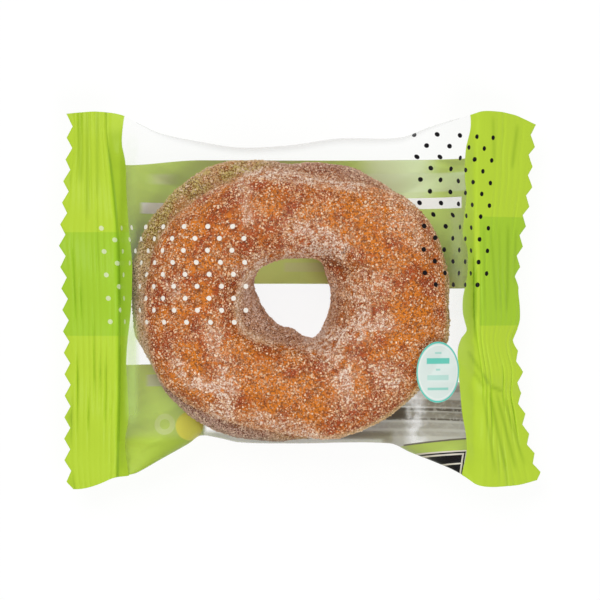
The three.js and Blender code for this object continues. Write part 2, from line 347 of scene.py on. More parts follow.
def pressed(side, rib, y):
    """How clearly each crimp is pressed, 0 to 1, which changes along it."""
    chance = np.random.default_rng(CRIMP_SEED + side)
    table = chance.uniform(0.1, 1, (CRIMPS + 1, CRIMP_SPOTS)) ** 2.2
    spots_at = np.linspace(-CRIMP_SPOTS_REACH, CRIMP_SPOTS_REACH, CRIMP_SPOTS)
    number = np.rint(rib[:, 0] * HALF_CRIMPS / 2).astype(int)
    strength = np.stack([np.interp(y, spots_at, table[k]) for k in number])
    least, start, end = CRIMPS_DEEPEN[side]
    strength = strength * (least + (1 - least) * ease(-y, start, end))
    if side < 0:
        return strength
    smooth_corner = ease(y, *SMOOTH_CORNER["y"]) * ease(rib, *SMOOTH_CORNER["rib"])
    return strength * (1 - SMOOTH_CORNER["loss"] * smooth_corner)


def groove(x, fold_x, reach):
    """The shallow groove along a seal's inner edge."""
    return -FOLD_GROOVE["depth"] * bump(x - fold_x, 0, FOLD_GROOVE["half_width"]) * reach


def stations(row):
    """For every row: x of each station, and the height of the crimp there."""
    from_tip = np.abs(row % 2 - 1)
    left_y = across_at(LEFT_TOOTH_X, row)
    right_y = across_at(RIGHT_TOOTH_X, row)
    right_depth = TOOTH_DEPTH[1] * (1 - np.exp(-(((right_y - BENT_TEETH[0]) / BENT_TEETH[1]) ** 4)))
    left_end = left_tips(left_y) + TOOTH_DEPTH[0] * from_tip
    right_end = right_tips(right_y) - right_depth * from_tip
    left_rib = left_tips(left_y) + TOOTH_DEPTH[0] + TOOTH_ROOT
    right_rib = right_tips(right_y) - right_depth - TOOTH_ROOT
    inner_left = left_fold(across_at(LEFT_FOLD_X, row))
    inner_right = right_fold(across_at(RIGHT_FOLD_X, row))

    tooth = np.arange(TOOTH_STEPS)[:, None] / TOOTH_STEPS
    rib = np.arange(RIB_STEPS)[:, None] / RIB_STEPS
    body = np.arange(BODY_STEPS)[:, None] / BODY_STEPS
    xs = [
        left_end + (left_rib - left_end) * tooth,
        left_rib + (inner_left - left_rib) * rib,
        inner_left + (inner_right - inner_left) * body,
        inner_right + (right_rib - inner_right) * rib,
        right_rib + (right_end - right_rib) * tooth,
        right_end[None, :],
    ]
    valley = ((1 + np.cos(math.pi * HALF_CRIMPS * rib)) / 2) ** RIB_SHARPNESS
    fade = 1 - ease(rib, CRIMP_FADE_FROM, 1)
    left_profile = CRIMP_HEIGHT * (1 - 2 * valley * pressed(-1, rib, left_y)) * fade
    right_profile = CRIMP_HEIGHT * (1 - 2 * valley * pressed(1, rib, right_y)) * fade
    left_reach = 1 - FOLD_GROOVE["left_loss"] * ease(left_y, *FOLD_GROOVE["left_ends"])
    right_reach = bump(right_y, 0, FOLD_GROOVE["right_reach"])
    crimps = [
        tooth * left_profile[:1],
        left_profile + groove(xs[1], inner_left, left_reach),
        groove(xs[2], inner_left, left_reach) + groove(xs[2], inner_right, right_reach),
        right_profile[::-1] + groove(xs[3], inner_right, right_reach),
        (1 - tooth) * right_profile[:1],
        np.zeros((1, len(row))),
    ]
    return np.concatenate(xs), np.concatenate(crimps)


LEFT_FOLD_STATION = TOOTH_STEPS + RIB_STEPS
RIGHT_FOLD_STATION = LEFT_FOLD_STATION + BODY_STEPS

# %% One station's half section
ARC_SAMPLES = 240
FLAT_SQUARENESS = 8


def half_section(half_width, height, power, share):
    """Points along half a rounded box, at the given shares of its length."""
    angle = math.pi * np.arange(ARC_SAMPLES + 1) / ARC_SAMPLES
    cosine, sine = np.cos(angle), np.clip(np.sin(angle), 0, 1)
    y = -np.sign(cosine) * half_width[:, None] * np.abs(cosine) ** (2 / power[:, None])
    z = height[:, None] * sine ** (2 / power[:, None])
    steps = np.hypot(np.diff(y), np.diff(z))
    lengths = np.concatenate([np.zeros((len(y), 1)), np.cumsum(steps, axis=1)], axis=1)
    wanted = share * lengths[:, -1]
    k = np.clip((lengths <= wanted[:, None]).sum(1) - 1, 0, ARC_SAMPLES - 1)
    rows = np.arange(len(y))
    t = np.clip((wanted - lengths[rows, k]) / (lengths[rows, k + 1] - lengths[rows, k]), 0, 1)
    return y[rows, k] + (y[rows, k + 1] - y[rows, k]) * t, z[rows, k] + (z[rows, k + 1] - z[rows, k]) * t


# %% Creases that the film takes from handling
CREASE_SEED = 7
CREASES = 70
CREASES_FROM = {"x": 50.5, "y": 46}
CREASE_LENGTH = (5, 17)
CREASE_HEIGHT = (0.12, 0.42)
CREASE_HALF_WIDTH = (0.7, 1.5)
CREASE_LEAN = {"inward": -0.25, "spread": 0.35}


def small_creases(side):
    """Short fine creases that fan out from the seals on one side of the film."""
    chance = np.random.default_rng(CREASE_SEED + side)
    widest = CREASES_FROM["y"]
    creases = []
    for n in range(CREASES):
        end = -1 if n % 2 else 1
        start_x = CREASES_FROM["x"] * end
        start_y = chance.uniform(-widest, widest)
        length = chance.uniform(*CREASE_LENGTH)
        lean = chance.normal(CREASE_LEAN["inward"] * start_y / widest, CREASE_LEAN["spread"])
        height = chance.uniform(*CREASE_HEIGHT) * chance.choice([-1, 1])
        half_width = chance.uniform(*CREASE_HALF_WIDTH)
        end_x, end_y = start_x - end * length, start_y + lean * length
        creases.append((start_x, start_y, end_x, end_y, half_width, height))
    return creases


# %% One side of the film
BACK_FLOOR = 0.04
LEAST_LIFT = 0.001
LEAST_HEIGHT = 1e-4
FILM_CLEARANCE = 0.3
SEAM_SLOPE = 0.25
# Shares of the full lift at which the skin and the seam have their full height
SKIN_FULL = 0.25
SEAM_FULL = 0.3


def film_side(row, side):
    """Points of the front (side 1) or the back (side -1), stations by rows."""
    x, crimp = stations(row)
    top, bottom = top_edge(x), bottom_edge(x)
    lift = rise(x)
    drop = MIDDLE_HEIGHT - fold_level(x)
    if side > 0:
        reach = PACK_THICKNESS - MIDDLE_HEIGHT - BODY_SKIN + drop
    else:
        reach = MIDDLE_HEIGHT - BODY_SKIN + BACK_SINK - drop
    skin = SEAL_SKIN + (BODY_SKIN - SEAL_SKIN) * ease(lift, 0, SKIN_FULL)
    flat = lift < LEAST_LIFT
    power = np.where(flat, FLAT_SQUARENESS, squareness(x))
    y = np.zeros_like(x)
    z = np.zeros_like(x)
    for i in range(len(x)):
        height = np.maximum(lift[i] * reach[i], LEAST_HEIGHT) + skin[i]
        y[i], z[i] = half_section((top[i] - bottom[i]) / 2, height, power[i], row_place(row))
    y += (top + bottom) / 2

    big_folds = [fold[:6] for fold in FOLDS if fold[6] == side]
    z += ridges(x, y, big_folds + small_creases(side))
    from_hole = np.hypot(x - RING_CENTRE[0], y - RING_CENTRE[1])
    z -= HOLE_DIP["depth"] * bump(from_hole, 0, HOLE_DIP["half_width"])
    if side < 0:
        on_seam = ease(row, SEAM["low"] - SEAM_SLOPE, SEAM["low"])
        on_seam = on_seam - ease(row, SEAM["high"], SEAM["high"] + SEAM_SLOPE)
        z += SEAM["height"] * on_seam * ease(lift, 0, SEAM_FULL)
    z = np.maximum(z, np.where(flat, SEAL_SKIN, FILM_CLEARANCE))

    z *= np.minimum(1, np.minimum(row, TOOTH_ROWS - row) * ROW_STEPS)
    z[[0, -1]] = 0
    level = fold_level(x) + seal_wave(x, y) + crimp
    return np.stack([x, y, np.maximum(level + side * z, BACK_FLOOR)], axis=-1)


# %% Distances along the film, for the print
RIGHT_CRIMP_STRETCH = 1.36


def distances(points, fold_station, stretch):
    """How far each point lies from a seal's inner edge, along the film; below 0 on the seal."""
    steps = np.linalg.norm(np.diff(points, axis=0), axis=-1)
    steps = np.concatenate([np.zeros((1, points.shape[1])), steps])
    along = np.cumsum(steps, axis=0)
    along = along - along[fold_station]
    beside = (points[:, :, 0] - points[fold_station, :, 0]) * stretch
    return along, beside


def print_places(points):
    """Distances from the left seal and from the right seal."""
    from_left, beside_left = distances(points, LEFT_FOLD_STATION, 1)
    from_right, beside_right = distances(points, RIGHT_FOLD_STATION, RIGHT_CRIMP_STRETCH)
    from_left[:LEFT_FOLD_STATION] = beside_left[:LEFT_FOLD_STATION]
    from_right[RIGHT_FOLD_STATION:] = beside_right[RIGHT_FOLD_STATION:]
    return from_left, -from_right


# %% [markdown]
# ## The film
# A grid stands for the flat web. Its two long edges are brought together at the back
# seam, its two short ends are pressed flat, and merging the doubles closes the skin. A
# real web is as thin as paper, so one skin is enough, and its finish makes it see-through.

# %% Points of the whole web, from the seam round the bottom fold, the front and the top fold
SEAM_ROW = 14.5
LEFT_PRINT_EDGE = [
    (-54, -47.5), (-40, -49), (-34, -48), (-24.5, -48.2), (-19, -48.6), (-12, -48.2), (-3, -47.1),
    (3, -46.8), (10, -46.8), (18, -47.6), (30, -48.6), (38, -48.9), (44, -50), (54, -48.9),
]
RIGHT_PRINT_EDGE = [
    (-54, 44.8), (-49, 45), (-43, 46.1), (-38, 46), (-32, 44.9), (-24, 44.1), (-18, 43.6), (-14, 43.6),
    (-11, 44.6), (-9, 46.1), (-6.5, 45.6), (-4, 45), (0, 45), (3, 45.6), (7, 46.4), (14, 46.3), (17.5, 45),
    (22, 45.3), (28.7, 46.1), (33, 45.7), (41, 45.9), (47.7, 47.4), (54, 47.1),
]
BACK_PRINT_SHORT = 0.8
# Painted shade in the crimp valleys: where a crimp lies lower than this share of its height
VALLEY_SHADE_LEVEL = 0.2
CREASE_END_FADE = 0.9
# Lines of painted shade in the seals' creases: from x, y, to x, y, half width and how dark
SEAL_CREASE_SHADES = [
    (-61.8, 32, -61.8, 54, 1.0, 0.6), (-59.7, 22, -59.7, 54, 0.6, 0.6), (-56.9, 28, -56.9, 54, 0.5, 0.6),
    (48.9, 9, 48.9, -6, 0.5, 1.0), (51.2, 21, 51.4, -4, 0.4, 0.5), (53.2, 20, 54.9, -4, 0.45, 0.6),
    (55.6, 21, 56.2, -4, 0.4, 0.45), (58.3, 21, 58.0, -4, 0.5, 0.9), (60.6, 20, 60.2, 4, 0.4, 0.6),
    (53.8, 51, 54.2, 38, 0.5, 0.6), (61, 49, 59.4, 36, 0.6, 0.7), (46.5, -14.5, 50.7, -20.7, 0.5, 0.8),
    (50.7, -20.7, 52.8, -24.3, 0.6, 1.0), (52.8, -24.3, 56.6, -26, 0.6, 1.0),
    (48.2, -20.4, 51.4, -24.9, 0.5, 0.7), (50.7, -25.6, 54.7, -49.4, 0.45, 0.7),
    (52.8, -26, 57.7, -48.7, 0.5, 0.9), (54.7, -26, 60.5, -48, 0.5, 0.9),
    (56.3, -26, 63.3, -47.3, 0.5, 0.7),
]
left_print_edge = through(LEFT_PRINT_EDGE)
right_print_edge = through(RIGHT_PRINT_EDGE)


def web_points():
    """The points of the web, stations by rows, and the numbers at each of them that its print needs."""
    front, back = film_side(row_marks, 1), film_side(row_marks, -1)
    start = int(SEAM_ROW * ROW_STEPS)
    order = (
        [("back", k) for k in range(start, 0, -1)]
        + [("front", k) for k in range(len(row_marks))]
        + [("back", k) for k in range(len(row_marks) - 2, start - 1, -1)]
    )

    def round_web(on_front, on_back):
        return np.stack([(on_front if side == "front" else on_back)[:, k] for side, k in order], axis=1)

    points = round_web(front, back)
    x, y = points[:, :, 0], points[:, :, 1]
    from_left, from_right = [round_web(*sides) for sides in zip(print_places(front), print_places(back))]
    # Painted shade in the crimp valleys and along the creases of the seals
    valley = np.clip(VALLEY_SHADE_LEVEL - stations(row_marks)[1] / CRIMP_HEIGHT, 0, 1)
    valley[LEFT_FOLD_STATION:RIGHT_FOLD_STATION] = 0
    on_back = round_web(np.zeros_like(valley), np.ones_like(valley))
    valley = round_web(valley, valley)
    for *line, half_width, dark in SEAL_CREASE_SHADES:
        off, along = off_line(x, y, *line)
        fading = 1 - CREASE_END_FADE * (2 * along - 1) ** 6
        valley = np.maximum(valley, dark * fading * bump(off, 0, half_width))
    seal_print = np.where(x < 0, left_print_edge(y) - x, x - right_print_edge(y))
    seal_print = seal_print - BACK_PRINT_SHORT * on_back
    marks = {
        "from_left": from_left, "from_right": from_right, "back": on_back, "valley": valley,
        "seal_print": seal_print,
    }
    return points, marks


points, marks = web_points()
print("web:", points.shape[0], "stations by", points.shape[1], "rows")


# %% The web as a mesh
def edit_all():
    bpy.ops.object.mode_set(mode="EDIT")
    bpy.ops.mesh.select_all(action="SELECT")


def leave_edit():
    bpy.ops.object.mode_set(mode="OBJECT")


def triangles(piece):
    return sum(len(p.vertices) - 2 for p in piece.data.polygons)


def coordinates(piece):
    """The points of a piece, in millimetres."""
    values = np.zeros(len(piece.data.vertices) * 3)
    piece.data.vertices.foreach_get("co", values)
    return values.reshape(-1, 3) / MM


def place_points(piece, points):
    """Moves the points of a piece to places in millimetres."""
    piece.data.vertices.foreach_set("co", (points * MM).ravel())


def store_marks(piece, marks):
    """Keeps numbers at each point of a piece, for its finish to read."""
    for name, values in marks.items():
        mark = piece.data.attributes.new(name, "FLOAT", "POINT")
        mark.data.foreach_set("value", values.astype(np.float32))


bpy.ops.object.select_all(action="DESELECT")
bpy.ops.mesh.primitive_grid_add(
    x_subdivisions=points.shape[0] - 1, y_subdivisions=points.shape[1] - 1, size=1, calc_uvs=True
)
film = bpy.context.object
film.name = "printed_film"
flat_web = coordinates(film) * MM + 0.5
station = np.rint(flat_web[:, 0] * (points.shape[0] - 1)).astype(int)
web_row = np.rint(flat_web[:, 1] * (points.shape[1] - 1)).astype(int)
place_points(film, points[station, web_row])
store_marks(film, {name: values[station, web_row] for name, values in marks.items()})

# %% Close the tube
MERGE = 0.004
SHARP_ANGLE = 60

edit_all()
bpy.ops.mesh.remove_doubles(threshold=MERGE * MM)
bpy.ops.mesh.normals_make_consistent(inside=False)
leave_edit()
bpy.ops.object.shade_smooth_by_angle(angle=math.radians(SHARP_ANGLE))
print("film:", triangles(film), "triangles")
film_tree = BVHTree.FromPolygons(
    [v.co.copy() for v in film.data.vertices], [list(p.vertices) for p in film.data.polygons]
)

# %% [markdown]
# ## A small kit for finishes
# A printed film is layers of ink, so its finish is built the same way: each layer has a
# mask, a strength and a colour. The helpers below draw bands and ovals from distances in
# millimetres, so the print stays sharp at any size and needs no picture.


# %% Colours and nodes
def srgb(red, green, blue):
    """A screen colour, 0 to 255, as the linear colour that shaders take."""
    linear = [
        c / 255 / 12.92 if c <= 10 else ((c / 255 + 0.055) / 1.055) ** 2.4 for c in (red, green, blue)
    ]
    return (*linear, 1)


def fill_inputs(tree, node, inputs):
    """Gives each input of a node a number, or a link from another node's output."""
    for name, value in inputs:
        if isinstance(value, bpy.types.NodeSocket):
            tree.links.new(value, node.inputs[name])
        else:
            node.inputs[name].default_value = value


def add_node(tree, kind, inputs=(), **settings):
    """One more node of a tree, with its settings and its inputs."""
    node = tree.nodes.new(kind)
    for name, value in settings.items():
        setattr(node, name, value)
    fill_inputs(tree, node, inputs)
    return node


class Finish:
    """One material with a Principled shader, and short words for the sums behind it."""

    def __init__(self, name):
        self.material = bpy.data.materials.new(name)
        self.material.use_nodes = True
        self.tree = self.material.node_tree

    def set(self, **values):
        inputs = [(name.replace("_", " "), value) for name, value in values.items()]
        fill_inputs(self.tree, self.tree.nodes["Principled BSDF"], inputs)

    def add(self, kind, inputs=(), **settings):
        return add_node(self.tree, kind, inputs, **settings)

    def place(self):
        """Where each point of the piece lies, in metres."""
        return self.add("ShaderNodeTexCoord").outputs["Object"]

    def attribute(self, name):
        return self.add("ShaderNodeAttribute", attribute_name=name).outputs["Fac"]

    def calc(self, operation, *values):
        return self.add("ShaderNodeMath", enumerate(values), operation=operation).outputs[0]

    def times(self, *factors):
        """Masks and numbers multiplied, so a mask holds only where all of them do."""
        total = factors[0]
        for factor in factors[1:]:
            total = self.calc("MULTIPLY", total, factor)
        return total

    def step(self, value, start, end):
        """0 below start, 1 above end and smooth between them."""
        inputs = [("Value", value), ("From Min", start), ("From Max", end)]
        return self.add("ShaderNodeMapRange", inputs, interpolation_type="SMOOTHSTEP").outputs[0]

    def band(self, value, low, high, soft=0.1):
        rising = self.step(value, low - soft, low + soft)
        return self.calc("SUBTRACT", rising, self.step(value, high - soft, high + soft))

    def oval(self, x, y, centre, radii, soft=0.05):
        """1 inside an oval, and how far out each point lies, 1 on the rim."""
        dx = self.calc("DIVIDE", self.calc("SUBTRACT", x, centre[0]), radii[0])
        dy = self.calc("DIVIDE", self.calc("SUBTRACT", y, centre[1]), radii[1])
        squares = self.calc("ADD", self.calc("POWER", dx, 2.0), self.calc("POWER", dy, 2.0))
        out = self.calc("SQRT", squares)
        return self.calc("SUBTRACT", 1.0, self.step(out, 1 - soft, 1 + soft)), out

    def mix(self, share, first, second):
        """A colour between two others."""
        inputs = [(0, share), (6, first), (7, second)]
        return self.add("ShaderNodeMix", inputs, data_type="RGBA").outputs[2]

    def blend(self, share, first, second):
        """A number between two others."""
        inputs = [(0, share), (2, first), (3, second)]
        return self.add("ShaderNodeMix", inputs, data_type="FLOAT").outputs[0]

    def tinted(self, colour, tints):
        """A colour with others over it, each as far as its mask and its share say."""
        for mask, share, tint in tints:
            colour = self.mix(self.calc("MULTIPLY", mask, share), colour, tint)
        return colour

    def noise(self, place, scale, detail, roughness=0.5):
        inputs = [("Vector", place), ("Scale", scale), ("Detail", detail), ("Roughness", roughness)]
        return self.add("ShaderNodeTexNoise", inputs).outputs["Fac"]

    def relief(self, height, distance):
        return self.add("ShaderNodeBump", [("Height", height), ("Distance", distance)]).outputs[0]


# %% [markdown]
# ## The print
# The seals are lime green, and clear film lies between them. The back carries green fields
# with pale stripes, a ring mark, a yellow spot, a grey block and a black panel, all seen
# through the front. The front has white dots on the left, black dots on the right and an
# oval label. Some layers are painted light and shade, not ink: darker lime in the seals'
# folds, creases and crimp valleys and on the steep film past the folds, paler green on the
# back beside the doughnut and in its hole, a painted reflection where the clear film turns
# down, and painted glare down the grey block.

# %% Inks
# The clear film's own grey seen straight on, its haze seen at a slant, and how strong each is
CLEAR_GREY = (0.36, 0.37, 0.38, 1)
HAZE_GREY = (0.78, 0.79, 0.78, 1)
CLEAR_STRENGTH = 0.02
EDGE_STRENGTH = 0.22
LIME = srgb(192, 222, 62)
LIME_DARK = srgb(172, 212, 56)
# Painted shade: a darker lime for the steep film just past each seal's fold
LIME_SLOPE_SHADE = srgb(172, 205, 52)
# Painted shade: a dark lime for the seals' folds, creases and crimp valleys
LIME_CREASE_SHADE = srgb(124, 164, 30)
LIME_BACK = srgb(192, 220, 80)
# Painted light: paler limes for where the doughnut shades the back, also used for the front's painted
# haze, and for the hole
LIME_PAINTED_LIGHT = srgb(218, 252, 144)
LIME_HOLE_LIGHT = srgb(228, 255, 146)
LIME_LOW = srgb(196, 224, 86)
LIME_MARK = srgb(222, 236, 166)
LIME_PALE = srgb(236, 255, 216)
PALE = srgb(236, 228, 216)
BRIGHT = srgb(250, 251, 248)
GREY = srgb(204, 206, 190)
GREY_MIDDLE = srgb(164, 160, 146)
GREY_DARK = srgb(108, 102, 90)
TEAL = srgb(64, 206, 184)
MINT = srgb(232, 246, 240)
YELLOW = srgb(252, 244, 104)
WHITE = srgb(250, 246, 236)
BLACK = srgb(20, 18, 22)

ink = Finish("printed_film")
layers = []


def minus(a, b):
    return ink.calc("SUBTRACT", a, b)


def past(value, limit, soft=0.12):
    """1 where a value is past its limit, with a soft edge."""
    return ink.step(value, limit - soft, limit + soft)


def short_of(value, limit, soft=0.12):
    return minus(1.0, past(value, limit, soft))


def lay(colour, strength, *masks):
    """One more layer of ink, or of painted light or shade, laid over the others where all its masks hold.
    """
    layers.append((ink.times(*masks, strength), colour))


# Places in millimetres, as they were before the footprint was centred
place = ink.place()
place_parts = ink.add("ShaderNodeSeparateXYZ", [(0, place)]).outputs
x_mm = ink.calc("DIVIDE", place_parts[0], MM)
y_mm = minus(ink.calc("DIVIDE", place_parts[1], MM), FOOTPRINT_SHIFT)
from_left = ink.attribute("from_left")
from_right = ink.attribute("from_right")
on_back = ink.step(ink.attribute("back"), 0.45, 0.55)
on_front = minus(1.0, on_back)

# %% Dots in staggered rows
LEFT_DOTS = {
    "rows_from": 19.7, "row_pitch": 3.28, "rows": 9, "first": -4.6, "pitch": 6.72, "last": 46.4,
    "lean": 0.07, "upright_at": 19.7, "radius": 0.68,
}
RIGHT_DOTS = {
    "rows_from": 45.5, "row_pitch": 3.21, "rows": 14, "first": -5.9, "pitch": 6.4, "last": 20.4,
    "lean": 0.04, "upright_at": 33.5, "radius": 0.68,
}


def dots(distance, y, rule):
    """Round dots whose rows go down the pack and whose columns follow the film."""
    lean = ink.times(minus(y, rule["upright_at"]), rule["lean"])
    along = ink.calc("ADD", distance, lean)
    down = ink.calc("DIVIDE", minus(rule["rows_from"], y), rule["row_pitch"])
    number = ink.calc("ROUND", down)
    off_row = ink.times(minus(down, number), rule["row_pitch"])
    shift = ink.times(ink.calc("FLOORED_MODULO", number, 2.0), rule["pitch"] / 2)
    column = minus(minus(along, rule["first"]), shift)
    off_column = ink.calc("WRAP", column, rule["pitch"] / 2, -rule["pitch"] / 2)
    inside = ink.oval(off_column, off_row, (0, 0), (rule["radius"], rule["radius"]), 0.12)[0]
    in_rows = ink.band(down, -0.5, rule["rows"] - 0.5, 0.01)
    in_columns = ink.band(along, rule["first"] - 1.2, rule["last"], 0.01)
    return ink.times(inside, in_rows, in_columns)


# %% Green fields and pale stripes of the back
top_limit = ink.blend(ink.step(x_mm, -50, -28), 37.5, 39.1)
low_limit = ink.blend(ink.step(x_mm, 5, 30), 4.2, 2.8)
right_stripe = ink.times(past(x_mm, -3), short_of(x_mm, 45.2), ink.band(y_mm, 25.4, 28.5))
thin_print = ink.times(ink.step(x_mm, 14, 24), short_of(x_mm, 37, 4), past(y_mm, 28.5, 0.5), 0.35)
upper_field = ink.times(
    on_back, past(minus(top_limit, y_mm), 0), past(minus(y_mm, low_limit), 0),
    minus(1.0, right_stripe), minus(1.0, thin_print),
)
# Painted light: the back's green is brightened near the ring and in its hole, where the doughnut shades it
painted_light_near_ring = short_of(ink.oval(x_mm, y_mm, RING_CENTRE, (54, 52))[1], 1, 0.22)
painted_light_in_hole = short_of(ink.oval(x_mm, y_mm, (-2.6, 4), (15, 15))[1], 1, 0.2)
pale_corner = ink.times(ink.step(x_mm, 14, 24), short_of(x_mm, 35, 4), past(y_mm, 28.5, 0.5))

lay(LIME_BACK, 0.92, upper_field)
# Painted light beside the ring and in the hole
lay(LIME_PAINTED_LIGHT, 0.85, upper_field, painted_light_near_ring, past(x_mm, 0))
lay(LIME_HOLE_LIGHT, 0.9, upper_field, painted_light_in_hole)
lay(LIME_PALE, 0.85, upper_field, pale_corner)
lay(BRIGHT, 0.95, on_back, short_of(x_mm, -3), past(x_mm, -44.9, 0.8), ink.band(y_mm, 24, 27.1))
lay(BRIGHT, 0.45, on_back, right_stripe)
lay(PALE, 0.35, on_back, ink.band(x_mm, -42, -36, 2.5), ink.band(y_mm, 32.4, 35.2, 0.5))
lay(LIME_PALE, 0.6, on_back, past(x_mm, 18), ink.band(y_mm, 30.2, 35.4, 0.4))
lay(PALE, 0.25, on_back, ink.band(x_mm, -4.5, 7, 0.8), ink.band(y_mm, 7.6, 10.2, 0.3))
lay(LIME_BACK, 0.92, on_back, short_of(y_mm, -18.7), short_of(x_mm, -26.8, 0.8))
lay(GREY, 0.75, on_back, ink.band(x_mm, -43.4, -24, 0.8), ink.band(y_mm, -24.9, -21.6))
lay(LIME, 0.6, on_back, short_of(y_mm, -37.5, 0.8), ink.band(x_mm, -26.8, 26, 0.8))
lay(LIME_LOW, 1.0, on_back, short_of(y_mm, -39, 1.5), short_of(x_mm, -22, 3))

# %% Ring mark, yellow spot and grey block of the back
RING_MARK = {"centre": (-38.3, -35.6), "radii": (2.9, 2.9), "hole": 0.48}
SPOT = {"centre": (-31.3, -36.0), "radii": (3.9, 3.9)}
BLOCK = {"left": 9, "top": -23.6, "low": -39.3, "corner": 45.9, "lean": 0.121}
BLOCK_LIFT = {"until": 23, "low": -39.6}
# From, to, colour and strength of the block's rows of print
BLOCK_ROWS = [
    (-30.6, -28.6, GREY_MIDDLE, 0.75), (-31.8, -31.0, GREY_DARK, 0.9), (-33.7, -32.1, GREY_MIDDLE, 0.8),
    (-34.4, -33.8, GREY_DARK, 0.9), (-36.7, -35.1, GREY_MIDDLE, 0.4), (-38.8, -37.5, GREY_MIDDLE, 0.35),
    (-26.4, -24.6, GREY_MIDDLE, 0.5),
]

in_mark, mark_out = ink.oval(x_mm, y_mm, RING_MARK["centre"], RING_MARK["radii"], 0.08)
in_spot = ink.oval(x_mm, y_mm, SPOT["centre"], SPOT["radii"], 0.06)[0]
block_lean = ink.times(minus(BLOCK["corner"], x_mm), BLOCK["lean"])
above_line = minus(y_mm, minus(BLOCK["low"], block_lean))
right_side = past(x_mm, 8)
lifted = ink.calc("MAXIMUM", past(x_mm, BLOCK_LIFT["until"], 1), past(y_mm, BLOCK_LIFT["low"], 0.4))
# Painted reflection: a streak of glare down the grey block, where its print is thinned so the bright table
# shows through
block_glare = ink.times(ink.band(x_mm, 30.2, 35.2, 1.8), ink.step(ink.noise(place, 260, 3), 0.3, 0.6), 0.6)
block = ink.times(
    on_back, past(above_line, 0), short_of(y_mm, BLOCK["top"]), past(x_mm, BLOCK["left"], 0.5),
    lifted, minus(1.0, block_glare),
)
broken = ink.calc("MULTIPLY_ADD", ink.step(ink.noise(place, 900, 1), 0.34, 0.5), 0.5, 0.5)

lay(LIME_MARK, 0.75, on_back, in_mark, past(mark_out, RING_MARK["hole"], 0.05))
lay(YELLOW, 0.88, on_back, in_spot)
lay(LIME_LOW, 0.95, on_back, right_side, short_of(above_line, 0), short_of(y_mm, -36))
lay(GREY, 0.8, block)
for low, high, colour, strength in BLOCK_ROWS:
    lay(colour, strength, block, ink.band(y_mm, low, high, 0.2), broken)
lay(GREY_DARK, 0.95, block, ink.band(x_mm, 22, 30.2, 0.8), ink.band(y_mm, -33.9, -31.0, 0.2))
lay(GREY_DARK, 0.9, on_back, past(x_mm, 29), ink.band(above_line, -0.15, 0.3))

# %% Dark panel of the back
PANEL = {"top": -42.6, "corner": 46.35, "top_lean": 0.082, "side_lean": 0.17}

top_lean = ink.times(minus(PANEL["corner"], x_mm), PANEL["top_lean"])
side_lean = ink.times(minus(PANEL["top"], y_mm), PANEL["side_lean"])
below_top = minus(minus(PANEL["top"], top_lean), y_mm)
inside_side = minus(minus(PANEL["corner"], side_lean), x_mm)
deep = ink.calc("MINIMUM", below_top, inside_side)
panel = ink.times(on_back, right_side)

lay(WHITE, 1.0, panel, past(deep, -0.3, 0.06))
lay(BLACK, 1.0, panel, past(deep, 0.1, 0.06))
lay(WHITE, 1.0, panel, ink.band(deep, 0.5, 0.95, 0.06))
lay(WHITE, 1.0, panel, past(deep, 0.9, 0.06), ink.band(below_top, 3.1, 3.5, 0.08))

# %% Seals
SEAL_BAND = {"left": (-10.5, 18.6), "right": (-7.6, 22.8)}
# Half width of the painted shade along each seal's fold line
FOLD_SHADE_HALF_WIDTH = 0.35

on_seal = past(ink.attribute("seal_print"), 0, 0.15)
left_end, right_end = short_of(x_mm, 0), past(x_mm, 0)
# Painted shade along each seal's fold line
left_fold_shade = ink.times(ink.band(from_left, -FOLD_SHADE_HALF_WIDTH, FOLD_SHADE_HALF_WIDTH, 0.3), short_of(y_mm, 43, 5))
right_fold_shade = ink.times(ink.band(from_right, -FOLD_SHADE_HALF_WIDTH, FOLD_SHADE_HALF_WIDTH, 0.3), ink.band(y_mm, -9, 9, 5))
# Painted shade on the steep film just past each seal's fold
beside_left = ink.times(left_end, past(from_left, 0.3, 0.3), short_of(y_mm, 47, 2))
beside_right = ink.times(right_end, past(from_right, 0.3, 0.3), ink.band(y_mm, -8, 20, 5))

lay(LIME, 1.0, on_seal)
# Painted shade on the steep slopes beside the folds
lay(LIME_SLOPE_SHADE, 0.8, on_seal, ink.calc("ADD", beside_left, beside_right))
lay(LIME_DARK, 1.0, on_seal, left_end, ink.band(y_mm, *SEAL_BAND["left"], 0.15))
lay(LIME_DARK, 1.0, on_seal, right_end, ink.band(y_mm, *SEAL_BAND["right"], 0.15), past(x_mm, 50))
# Painted shade along the seals' fold lines
lay(LIME_CREASE_SHADE, 0.75, on_seal, ink.calc("ADD", left_fold_shade, right_fold_shade))
# Painted shade in the crimp valleys and creases of the seals
lay(LIME_CREASE_SHADE, 0.52, on_seal, ink.attribute("valley"))

# %% Painted reflection: pale haze where the clear film turns down to the seals
uneven = ink.step(ink.noise(place, 70, 3), 0.35, 0.62)
lay(LIME_PAINTED_LIGHT, 0.16, on_front, ink.band(x_mm, -48.6, -45.6, 0.9), ink.band(y_mm, -33, 44, 4), uneven)
lay(BRIGHT, 0.08, on_front, ink.band(x_mm, 41.5, 45.2, 1.2), ink.band(y_mm, -14, 30, 6), uneven)
lay(LIME_PAINTED_LIGHT, 0.42, on_front, ink.band(x_mm, -48.6, -45.2, 1.2), ink.band(y_mm, -33, -7, 4))

